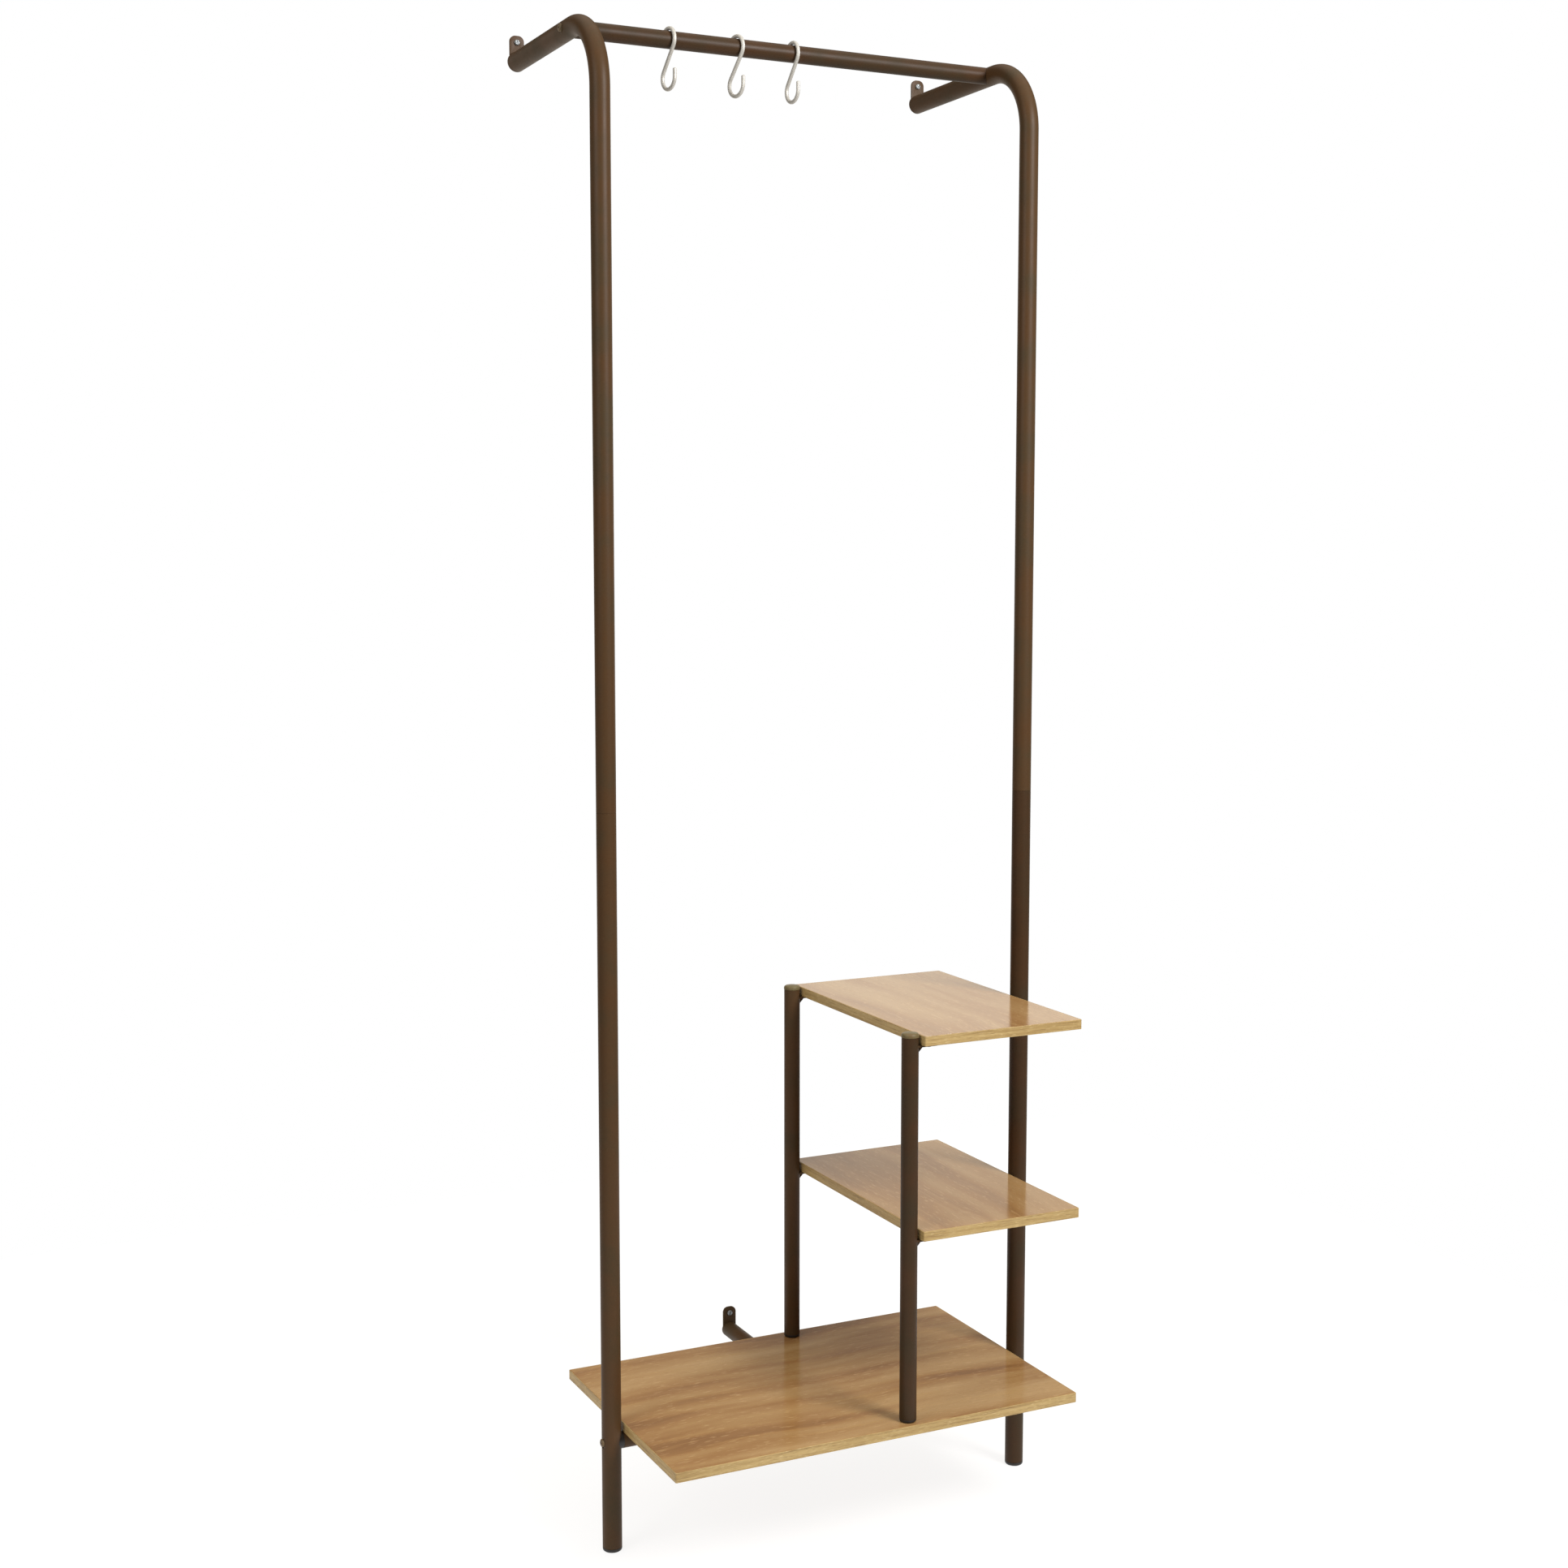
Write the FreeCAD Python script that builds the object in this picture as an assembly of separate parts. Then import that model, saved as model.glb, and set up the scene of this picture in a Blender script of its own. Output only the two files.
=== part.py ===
import FreeCAD, Part
import math
import os

# Hall tree: two bent steel uprights fixed to the wall, a rail with S-hooks between them,
# a low base board, and two small shelves on short posts at the right.
# Millimetres. +X right, -Y front, +Z up. The origin is on the floor, centred under the whole.

V = FreeCAD.Vector
ALONG_X = V(1, 0, 0)
ALONG_Y = V(0, 1, 0)
UP = V(0, 0, 1)

# tubes
upright_d = 25.4
upright_wall = 1.2
bar_d = 22.2
bar_wall = 1.0

# uprights and arms
upright_x = 305.6
upright_y = -72.5
arm_z = 1937.0
bend_r = 90.0
seam_z = 963.0
seam_chamfer = 0.4
wall_y = 233.0

# rail and hooks
rail_setback = 102.0
rail_y = upright_y + rail_setback
hook_wire_d = 5.0
hook_bend_r = 14.3
hook_drop = 46.9
hook_back_tail = 4.0
hook_front_tip = 10.0
hooks = {"left": (-172.0, 10.0), "middle": (-77.0, 14.0), "right": (4.0, 6.0)}

# boards
board_t = 13.0
board_depth = 375.0
board_front_y = -250.0
base_width = 582.0
base_top_z = 170.0
shelf_pitch = 254.0
shelf_left_x = 54.5
edging_t = 1.0
board_corner_r = 2.0

# posts
post_x = 42.4
post_inset_y = 17.5
post_top_gap = 2.5
post_foot_h = 4.0
cap_d = 23.0
cap_h = 6.0

# joints and fixings
foot_h = 5.0
plug_stem_h = 20.0
plug_wall = 2.0
sleeve_length = 120.0
sleeve_wall = 1.5
fit_gap = 0.05
bolt_d = 5.9
bolt_hole_d = 6.4
thread_d = 6.0
bolt_head_d = 10.5
bolt_head_h = 3.3
bolt_socket_d = 4.6
bolt_socket_depth = 1.8
seat_d = 12.4
seat_depth = 1.2
rail_bolt_length = 45.0
crossbar_bolt_length = 65.0
insert_length = 30.0
saddle_stem = 10.0
saddle_block = 9.0
plate_t = 3.0
tab_width = 20.0
tab_rise = 34.0
tab_hole_rise = 25.0
wall_screw_hole_d = 5.0
wall_screw_neck_d = 4.7
wall_screw_neck_length = 3.5
wall_screw_thread_d = 4.3
wall_screw_point = 4.0
wall_screw_length = 20.0
wall_screw_tip_r = 0.3
wall_screw_head_d = 8.4
wall_screw_head_h = 2.6
wall_screw_head_round = 1.6
wall_screw_cross = (4.6, 1.0, 1.4)
small_screw_d = 3.9
small_screw_head_d = 7.5
small_screw_head_h = 2.0
small_screw_head_round = 1.2
small_screw_cross = (4.0, 0.9, 1.2)
bracket_t = 2.5
bracket_reach = 26.0
bracket_web_t = 3.0
bracket_web_h = 8.0
post_bracket_width = 18.0
upright_bracket_width = 30.0
bracket_corner_r = 4.0
bracket_screw_inset = 16.0
bracket_screw_grip = 9.0
base_screw_x = 150.0
base_screw_y = 70.0

upright_r = upright_d / 2
upright_bore_r = upright_r - upright_wall
bar_r = bar_d / 2
bar_bore_r = bar_r - bar_wall
board_back_y = board_front_y + board_depth
base_right_x = base_width / 2
base_under_z = base_top_z - board_t
bar_z = base_under_z - bar_r
crossbar_half = base_right_x + 0.4
plate_y = wall_y - plate_t
plug_hollow_d = (upright_bore_r - plug_wall) * 2
post_ys = {"front": board_front_y + post_inset_y, "rear": board_back_y - post_inset_y}
shelf_tops = {"middle": base_top_z + shelf_pitch, "top": base_top_z + 2 * shelf_pitch}
post_top_z = shelf_tops["top"] - post_top_gap


def cylinder(start, direction, diameter, length):
    return Part.makeCylinder(diameter / 2, length, start, direction)


def tube(start, direction, outer_r, bore_r, length):
    outer = Part.makeCylinder(outer_r, length, start, direction)
    return outer.cut(Part.makeCylinder(bore_r, length, start, direction))


def line(a, b):
    return Part.LineSegment(a, b).toShape()


def arc(a, through, b):
    return Part.Arc(a, through, b).toShape()


def sweep(path, radius):
    start = path.Edges[0].Vertexes[0].Point
    tangent = path.Edges[0].tangentAt(path.Edges[0].FirstParameter)
    circle = Part.Wire(Part.makeCircle(radius, start, tangent))
    return path.makePipeShell([circle], True, False)


def ring_edges(shape, z, radius):
    # the circular edges of one radius that lie flat at one height
    found = []
    for edge in shape.Edges:
        flat = edge.BoundBox.ZLength < 0.01 and abs(edge.BoundBox.ZMin - z) < 0.01
        if flat and isinstance(edge.Curve, Part.Circle) and abs(edge.Curve.Radius - radius) < 0.01:
            found.append(edge)
    return found


def pressed_seat(shape, core, side, centre):
    # flat seat pressed into a round tube for a bolt head, with the bolt's way right through
    out = V(side, 0, 0)
    crown = V(side * (abs(centre.x) + upright_r), centre.y, centre.z)
    floor = crown - out * seat_depth
    backing = cylinder(floor - out * upright_wall, out, seat_d + 2, upright_wall + 0.3).common(core)
    pocket = cylinder(floor, out, seat_d, 10)
    way = cylinder(V(-side * 40, 0, 0) + crown, out, bolt_hole_d, 50)
    return shape.fuse(backing).cut(pocket).cut(way)


def lower_upright(side):
    start = V(side * upright_x, upright_y, foot_h)
    length = seam_z - foot_h
    shape = tube(start, UP, upright_r, upright_bore_r, length)
    shape = shape.makeChamfer(seam_chamfer, ring_edges(shape, seam_z, upright_r))
    core = cylinder(start, UP, upright_d, length)
    return pressed_seat(shape, core, side, V(side * upright_x, upright_y, bar_z))


def upper_upright(side):
    x = side * upright_x
    bend_z = arm_z - bend_r
    bend_y = upright_y + bend_r
    reach = bend_r * math.sin(math.radians(45))
    middle = V(x, bend_y - reach, bend_z + reach)
    path = Part.Wire([
        line(V(x, upright_y, seam_z), V(x, upright_y, bend_z)),
        arc(V(x, upright_y, bend_z), middle, V(x, bend_y, arm_z)),
        line(V(x, bend_y, arm_z), V(x, plate_y, arm_z)),
    ])
    core = sweep(path, upright_r)
    shape = core.cut(sweep(path, upright_bore_r))
    shape = shape.makeChamfer(seam_chamfer, ring_edges(shape, seam_z, upright_r))
    return pressed_seat(shape, core, side, V(x, rail_y, arm_z))


def joint_sleeve(side):
    start = V(side * upright_x, upright_y, seam_z - sleeve_length / 2)
    outer_r = upright_bore_r - fit_gap
    return tube(start, UP, outer_r, outer_r - sleeve_wall, sleeve_length)


def end_plug(base, outer_d, head_h, bore_r, stem, hollow_d):
    # plastic plug: rounded head below, hollow stem up inside the tube
    head = cylinder(base, UP, outer_d, head_h)
    head = head.makeFillet(head_h * 0.6, ring_edges(head, base.z, outer_d / 2))
    top = base + UP * head_h
    stem_shape = Part.makeCylinder(bore_r - fit_gap, stem, top, UP)
    hollow = cylinder(top, UP, hollow_d, stem)
    return head.fuse(stem_shape).cut(hollow).removeSplitter()


def post_foot(y):
    base = V(post_x, y, base_top_z)
    plug = end_plug(base, bar_d, post_foot_h, bar_bore_r, plug_stem_h, thread_d)
    return plug.cut(cylinder(base, UP, thread_d, post_foot_h))


def post_cap(y):
    base = V(post_x, y, post_top_z)
    head = cylinder(base, UP, cap_d, cap_h)
    head = head.makeFillet(cap_h * 0.55, ring_edges(head, base.z + cap_h, cap_d / 2))
    stem = Part.makeCylinder(bar_bore_r - fit_gap, plug_stem_h, base - UP * plug_stem_h, UP)
    hollow = cylinder(base - UP * plug_stem_h, UP, (bar_bore_r - plug_wall) * 2, plug_stem_h)
    return head.fuse(stem).cut(hollow).removeSplitter()


def post(y):
    foot = base_top_z + post_foot_h
    return tube(V(post_x, y, foot), UP, bar_r, bar_bore_r, post_top_z - foot)


def wall_plate(x, z, tube_d):
    # disc that closes the tube's end, with a round-topped tab and its screw hole above
    start = V(x, plate_y, z)
    disc = cylinder(start, ALONG_Y, tube_d, plate_t)
    tab_r = tab_width / 2
    leg = Part.makeBox(tab_width, plate_t, tab_rise - tab_r, V(x - tab_r, plate_y, z))
    top = cylinder(start + UP * (tab_rise - tab_r), ALONG_Y, tab_width, plate_t)
    hole = cylinder(start + UP * tab_hole_rise, ALONG_Y, wall_screw_hole_d, plate_t)
    return disc.fuse([leg, top]).cut(hole).removeSplitter()


def wall_screw(x, z):
    # pan-head wood screw: plain neck through the tab, then the thread, then the point
    seat = V(x, plate_y, z + tab_hole_rise)
    front = seat.y - wall_screw_head_h
    head = cylinder(V(x, front, seat.z), ALONG_Y, wall_screw_head_d, wall_screw_head_h)
    rim = [e for e in head.Edges if e.BoundBox.YMax < front + 0.01]
    head = head.makeFillet(wall_screw_head_round, rim)
    neck = cylinder(seat, ALONG_Y, wall_screw_neck_d, wall_screw_neck_length)
    thread_start = seat + ALONG_Y * wall_screw_neck_length
    thread_length = wall_screw_length - wall_screw_neck_length - wall_screw_point
    thread = cylinder(thread_start, ALONG_Y, wall_screw_thread_d, thread_length)
    point_start = thread_start + ALONG_Y * thread_length
    point = Part.makeCone(
        wall_screw_thread_d / 2, wall_screw_tip_r, wall_screw_point, point_start, ALONG_Y)
    span, wall, deep = wall_screw_cross
    slots = []
    for wide, tall in ((span, wall), (wall, span)):
        corner = V(x - wide / 2, front, seat.z - tall / 2)
        slots.append(Part.makeBox(wide, deep, tall, corner))
    return head.fuse([neck, thread, point]).cut(slots).removeSplitter()


def rail():
    half = upright_x - 3
    shape = tube(V(-half, rail_y, arm_z), ALONG_X, bar_r, bar_bore_r, 2 * half)
    for side in (-1, 1):
        arm = Part.makeCylinder(upright_r + 0.1, 80, V(side * upright_x, rail_y - 40, arm_z), ALONG_Y)
        shape = shape.cut(arm)
    return shape


def thread_insert(side, start_x, y, z):
    start = V(side * start_x, y, z)
    inward = V(-side, 0, 0)
    return tube(start, inward, bar_bore_r - fit_gap, thread_d / 2, insert_length)


def bolt(side, y, z, length):
    # button-head bolt driven in from the outer side of an upright
    out = V(side, 0, 0)
    seat = V(side * (upright_x + upright_r - seat_depth), y, z)
    head = cylinder(seat, out, bolt_head_d, bolt_head_h)
    crown_x = side * (upright_x + upright_r - seat_depth + bolt_head_h)
    rim = [e for e in head.Edges if e.BoundBox.XLength < 0.01 and abs(e.BoundBox.XMin - crown_x) < 0.01]
    head = head.makeFillet(bolt_head_h * 0.7, rim)
    shank = cylinder(seat, out * -1, bolt_d, length)
    socket = Part.Face(Part.makePolygon(hexagon(V(crown_x, y, z), bolt_socket_d / 2)))
    return head.fuse(shank).cut(socket.extrude(out * -bolt_socket_depth)).removeSplitter()


def hexagon(centre, radius):
    points = []
    for corner in range(7):
        turn = math.radians(60 * corner)
        points.append(centre + V(0, radius * math.cos(turn), radius * math.sin(turn)))
    return points


def crossbar():
    shape = tube(V(-crossbar_half, upright_y, bar_z), ALONG_X, bar_r, bar_bore_r, 2 * crossbar_half)
    for x in (-base_screw_x, base_screw_x):
        way = cylinder(V(x, upright_y, bar_z - bar_d), UP, small_screw_d + 0.5, 2 * bar_d)
        shape = shape.cut(way)
    return shape


def crossbar_saddle(side):
    # hollowed plastic spacer that fits the flat tube end to the round upright
    inner_x = side * (crossbar_half - saddle_stem)
    out = V(side, 0, 0)
    stem = Part.makeCylinder(bar_bore_r - fit_gap, saddle_stem, V(inner_x, upright_y, bar_z), out)
    block = cylinder(V(side * crossbar_half, upright_y, bar_z), out, bar_d, saddle_block)
    upright = Part.makeCylinder(upright_r + fit_gap, 60, V(side * upright_x, upright_y, bar_z - 30), UP)
    way = cylinder(V(inner_x, upright_y, bar_z), out, bolt_hole_d, 40)
    return stem.fuse(block).cut(upright).cut(way).removeSplitter()


def rear_strut():
    start = V(0, upright_y, bar_z)
    shape = tube(start, ALONG_Y, bar_r, bar_bore_r, plate_y - upright_y)
    bar = Part.makeCylinder(bar_r + fit_gap, 60, V(-30, upright_y, bar_z), ALONG_X)
    way = cylinder(V(0, base_screw_y, bar_z - bar_d), UP, small_screw_d + 0.5, 2 * bar_d)
    return shape.cut(bar).cut(way)


def rounded_slab(x0, x1, z_top):
    slab = Part.makeBox(x1 - x0, board_depth, board_t, V(x0, board_front_y, z_top - board_t))
    corners = [e for e in slab.Edges if abs(e.BoundBox.ZLength - board_t) < 0.01]
    return slab.makeFillet(board_corner_r, corners)


def board_core(x0, x1, z_top, holes):
    width = x1 - x0 - 2 * edging_t
    depth = board_depth - 2 * edging_t
    corner = V(x0 + edging_t, board_front_y + edging_t, z_top - board_t)
    core = Part.makeBox(width, depth, board_t, corner)
    return core.cut(holes) if holes else core


def board_edging(x0, x1, z_top):
    # thin band glued all round the board's edge
    return rounded_slab(x0, x1, z_top).cut(board_core(x0, x1, z_top, []))


def base_board():
    under = base_under_z
    holes = [cylinder(V(post_x, y, under), UP, bolt_hole_d, board_t) for y in post_ys.values()]
    for place in base_screw_places():
        holes.append(cylinder(V(place.x, place.y, under), UP, small_screw_d + 0.1, bracket_screw_grip))
    return board_core(-base_right_x, base_right_x, base_top_z, holes)


def shelf(level):
    under = shelf_tops[level] - board_t
    holes = []
    for place in shelf_screw_places():
        holes.append(cylinder(V(place.x, place.y, under), UP, small_screw_d + 0.1, bracket_screw_grip))
    return board_core(shelf_left_x, base_right_x, shelf_tops[level], holes)


def base_screw_places():
    return [
        V(-base_screw_x, upright_y, 0),
        V(base_screw_x, upright_y, 0),
        V(0, base_screw_y, 0),
    ]


def shelf_screw_places():
    places = [V(post_x + bar_r + bracket_screw_inset, y, 0) for y in post_ys.values()]
    places.append(V(upright_x - upright_r - bracket_screw_inset, upright_y, 0))
    return places


def upward_screw(x, y, seat_z, length):
    # small pan-head screw driven up from below, its head under the seat
    head = cylinder(V(x, y, seat_z - small_screw_head_h), UP, small_screw_head_d, small_screw_head_h)
    rim = ring_edges(head, seat_z - small_screw_head_h, small_screw_head_d / 2)
    head = head.makeFillet(small_screw_head_round, rim)
    shank = cylinder(V(x, y, seat_z), UP, small_screw_d, length)
    span, wall, deep = small_screw_cross
    slots = []
    for wide, tall in ((span, wall), (wall, span)):
        corner = V(x - wide / 2, y - tall / 2, seat_z - small_screw_head_h)
        slots.append(Part.makeBox(wide, tall, deep, corner))
    return head.fuse(shank).cut(slots).removeSplitter()


def base_board_screws():
    seat = bar_z - bar_r
    length = bar_d + bracket_screw_grip - 0.5
    return Part.Compound([upward_screw(p.x, p.y, seat, length) for p in base_screw_places()])


def shelf_screws(level):
    seat = shelf_tops[level] - board_t - bracket_t
    length = bracket_t + bracket_screw_grip - 0.5
    return Part.Compound([upward_screw(p.x, p.y, seat, length) for p in shelf_screw_places()])


def post_screws():
    # bolts up through the base board into the posts' feet
    screws = []
    for y in post_ys.values():
        seat = V(post_x, y, base_under_z)
        head = cylinder(seat - UP * bolt_head_h, UP, bolt_head_d, bolt_head_h)
        rim = ring_edges(head, seat.z - bolt_head_h, bolt_head_d / 2)
        head = head.makeFillet(bolt_head_h * 0.7, rim)
        shank = cylinder(seat, UP, bolt_d, board_t + post_foot_h + plug_stem_h - 4)
        screws.append(head.fuse(shank).removeSplitter())
    return Part.Compound(screws)


def bracket(axis_x, axis_r, y, level, toward, width):
    # welded steel tongue under a shelf, with a web below it, shaped to its round tube
    z = shelf_tops[level] - board_t
    start_x = axis_x + toward * axis_r * 0.5
    end_x = axis_x + toward * (axis_r + bracket_reach)
    low_x = min(start_x, end_x)
    tongue = Part.makeBox(abs(end_x - start_x), width, bracket_t, V(low_x, y - width / 2, z - bracket_t))
    tips = [e for e in tongue.Edges if e.BoundBox.ZLength > bracket_t - 0.01
            and abs(e.BoundBox.XMin - end_x) < 0.01]
    tongue = tongue.makeFillet(bracket_corner_r, tips)
    foot_x = axis_x + toward * (axis_r + bracket_web_h)
    web_y = y - bracket_web_t / 2
    outline = Part.makePolygon([
        V(start_x, web_y, z - bracket_t),
        V(foot_x, web_y, z - bracket_t),
        V(axis_x + toward * axis_r, web_y, z - bracket_t - bracket_web_h),
        V(start_x, web_y, z - bracket_t - bracket_web_h),
        V(start_x, web_y, z - bracket_t),
    ])
    web = Part.Face(outline).extrude(V(0, bracket_web_t, 0))
    post_rod = Part.makeCylinder(axis_r, 60, V(axis_x, y, z - 30), UP)
    screw_x = axis_x + toward * (axis_r + bracket_screw_inset)
    way = cylinder(V(screw_x, y, z - 20), UP, small_screw_d + 0.5, 30)
    return tongue.fuse(web).cut(post_rod).cut(way).removeSplitter()


def s_hook(x, twist_deg):
    # round wire bent to an S: over the rail, down in front, back under, and up to a front tip
    twist = math.radians(twist_deg)
    r = hook_bend_r

    def at(forward, rise):
        return V(x + forward * math.sin(twist), rail_y - forward * math.cos(twist), arm_z + rise)

    lean = math.asin(2 * r / hook_drop)
    across = r * math.cos(lean)
    down = r * math.sin(lean)
    path = Part.Wire([
        line(at(-r, -hook_back_tail), at(-r, 0)),
        arc(at(-r, 0), at(0, r), at(across, -down)),
        line(at(across, -down), at(-across, down - hook_drop)),
        arc(at(-across, down - hook_drop), at(0, -r - hook_drop), at(r, -hook_drop)),
        line(at(r, -hook_drop), at(r, hook_front_tip - hook_drop)),
    ])
    wire = sweep(path, hook_wire_d / 2)
    ends = [e for e in wire.Edges if isinstance(e.Curve, Part.Circle) and e.BoundBox.ZLength < 0.01
            and abs(e.Curve.Radius - hook_wire_d / 2) < 0.01
            and (abs(e.BoundBox.ZMin - (arm_z - hook_back_tail)) < 0.01
                 or abs(e.BoundBox.ZMin - (arm_z - hook_drop + hook_front_tip)) < 0.01)]
    return wire.makeFillet(1.5, ends)


def build_parts():
    parts = {}
    for name, side in (("left", -1), ("right", 1)):
        x = side * upright_x
        parts[name + "_upright_lower"] = lower_upright(side)
        parts[name + "_upright_upper"] = upper_upright(side)
        parts[name + "_joint_sleeve"] = joint_sleeve(side)
        parts[name + "_foot_plug"] = end_plug(
            V(x, upright_y, 0), upright_d, foot_h, upright_bore_r, plug_stem_h, plug_hollow_d)
        parts[name + "_arm_wall_plate"] = wall_plate(x, arm_z, upright_d)
        parts[name + "_wall_screw"] = wall_screw(x, arm_z)
        parts[name + "_rail_insert"] = thread_insert(side, upright_x - upright_r - 2, rail_y, arm_z)
        parts[name + "_rail_bolt"] = bolt(side, rail_y, arm_z, rail_bolt_length)
        parts[name + "_crossbar_saddle"] = crossbar_saddle(side)
        parts[name + "_crossbar_insert"] = thread_insert(
            side, crossbar_half - saddle_stem, upright_y, bar_z)
        parts[name + "_crossbar_bolt"] = bolt(side, upright_y, bar_z, crossbar_bolt_length)
    parts["rail"] = rail()
    parts["crossbar"] = crossbar()
    parts["rear_strut"] = rear_strut()
    parts["strut_wall_plate"] = wall_plate(0, bar_z, bar_d)
    parts["strut_wall_screw"] = wall_screw(0, bar_z)
    parts["base_board"] = base_board()
    parts["base_board_edging"] = board_edging(-base_right_x, base_right_x, base_top_z)
    parts["base_board_screws"] = base_board_screws()
    for level in shelf_tops:
        parts[level + "_shelf"] = shelf(level)
        parts[level + "_shelf_edging"] = board_edging(shelf_left_x, base_right_x, shelf_tops[level])
        parts[level + "_shelf_screws"] = shelf_screws(level)
        parts["upright_bracket_" + level] = bracket(
            upright_x, upright_r, upright_y, level, -1, upright_bracket_width)
        for name, y in post_ys.items():
            parts[name + "_post_bracket_" + level] = bracket(
                post_x, bar_r, y, level, 1, post_bracket_width)
    for name, y in post_ys.items():
        parts[name + "_post"] = post(y)
        parts[name + "_post_cap"] = post_cap(y)
        parts[name + "_post_foot"] = post_foot(y)
    parts["post_screws"] = post_screws()
    for name, (x, twist_deg) in hooks.items():
        parts["s_hook_" + name] = s_hook(x, twist_deg)
    return parts


os.makedirs("parts", exist_ok=True)
for node, shape in build_parts().items():
    shape.exportStep("parts/" + node + ".step")
    box = shape.BoundBox
    print(node, "solids", len(shape.Solids), "valid", shape.isValid(), "volume", round(shape.Volume, 1),
          "x", round(box.XMin, 1), round(box.XMax, 1), "y", round(box.YMin, 1), round(box.YMax, 1),
          "z", round(box.ZMin, 1), round(box.ZMax, 1))
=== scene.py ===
import bpy
import bmesh
import math
from mathutils import Matrix, Vector


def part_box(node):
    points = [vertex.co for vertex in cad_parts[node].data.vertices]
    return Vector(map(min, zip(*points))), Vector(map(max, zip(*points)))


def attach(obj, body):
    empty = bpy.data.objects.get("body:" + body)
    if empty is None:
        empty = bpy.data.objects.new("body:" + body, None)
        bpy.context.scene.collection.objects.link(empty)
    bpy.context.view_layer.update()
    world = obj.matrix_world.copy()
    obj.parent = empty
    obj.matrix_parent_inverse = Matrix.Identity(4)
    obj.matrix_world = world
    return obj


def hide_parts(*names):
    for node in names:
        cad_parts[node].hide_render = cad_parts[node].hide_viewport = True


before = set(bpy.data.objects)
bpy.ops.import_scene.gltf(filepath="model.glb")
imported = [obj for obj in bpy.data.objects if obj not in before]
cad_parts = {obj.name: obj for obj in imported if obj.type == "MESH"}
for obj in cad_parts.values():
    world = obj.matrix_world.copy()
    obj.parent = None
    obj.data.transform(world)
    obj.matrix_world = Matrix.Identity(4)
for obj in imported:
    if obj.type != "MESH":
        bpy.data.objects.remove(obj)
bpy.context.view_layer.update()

mm = 0.001
perMetre = 1000  # divided by a real size in mm, this is a texture's scale
noiseSpan = (0.3, 0.7)  # nearly all of a noise lies between these


def hexColour(text):
    # sRGB hex to the linear colour that the shaders work in
    linear = []
    for start in (1, 3, 5):
        value = int(text[start:start + 2], 16) / 255
        linear.append(value / 12.92 if value <= 0.04045 else ((value + 0.055) / 1.055) ** 2.4)
    return (*linear, 1.0)


def addNode(tree, kind, inputs=None, stops=(), **settings):
    # a socket given as an input is linked, anything else is set as its value; stops are
    # the places and colours along a colour ramp, in order
    node = tree.nodes.new(kind)
    for name, value in settings.items():
        setattr(node, name, value)
    for key, value in (inputs or {}).items():
        if isinstance(value, bpy.types.NodeSocket):
            tree.links.new(value, node.inputs[key])
        else:
            node.inputs[key].default_value = value
    if stops:
        elements = node.color_ramp.elements
        for element, (position, colour) in zip(elements, (stops[0], stops[-1])):
            element.position = position
            element.color = hexColour(colour)
        for position, colour in stops[1:-1]:
            elements.new(position).color = hexColour(colour)
    return node


def fromTo(source, target=(0.0, 1.0)):
    # the limits of a Map Range node
    return {"From Min": source[0], "From Max": source[1], "To Min": target[0], "To Max": target[1]}


def newMaterial(name):
    material = bpy.data.materials.new(name)
    material.use_nodes = True
    material.node_tree.nodes.clear()
    return material, material.node_tree


def centreOf(node):
    low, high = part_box(node)
    return (Vector(low) + Vector(high)) / 2


def widthOf(node):
    low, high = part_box(node)
    return high[0] - low[0]


# camera, light and floor
studio = {
    "cameraPlace": (-1.2705, -2.5631, 1.2777),
    "cameraTurn": (84.03, 0.0, -25.96),  # degrees
    "lens": 49.15,
    "sensorWidth": 36.0,
    "paperWhite": "#ffffff",
    "wallWhite": "#fff9ee",  # what the lacquer mirrors, a little warm
    "backWay": (0.44, 0.9, 0.0),  # from the camera towards the white background
    "backEdge": (0.5, 0.88),  # share of that way at which the white begins, and is full
    "wallTop": (0.26, 0.36),  # height of a direction at which the white fades to the dim ceiling
    "skyEdge": (0.6, 0.85),  # height at which the soft light overhead begins, and is full
    "backStrength": 1.02,
    "frontStrength": 0.22,
    "midStrength": 0.14,
    "skyStrength": 1.3,
    "keyPlace": (1.0, -2.3, 2.6),
    "keySize": 1.0,
    "keyPower": 97.0,
    "sidePlace": (-2.7, -1.0, 2.5),
    "sideSize": 1.4,
    "sidePower": 34.0,
    "aim": (0.0, 0.0, 1.3),
    "floorColour": "#757473",
    "floorGlow": 0.87,  # the paper is lit from below as well, which keeps shadows faint
    "floorHalf": 1.5,
}


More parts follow.
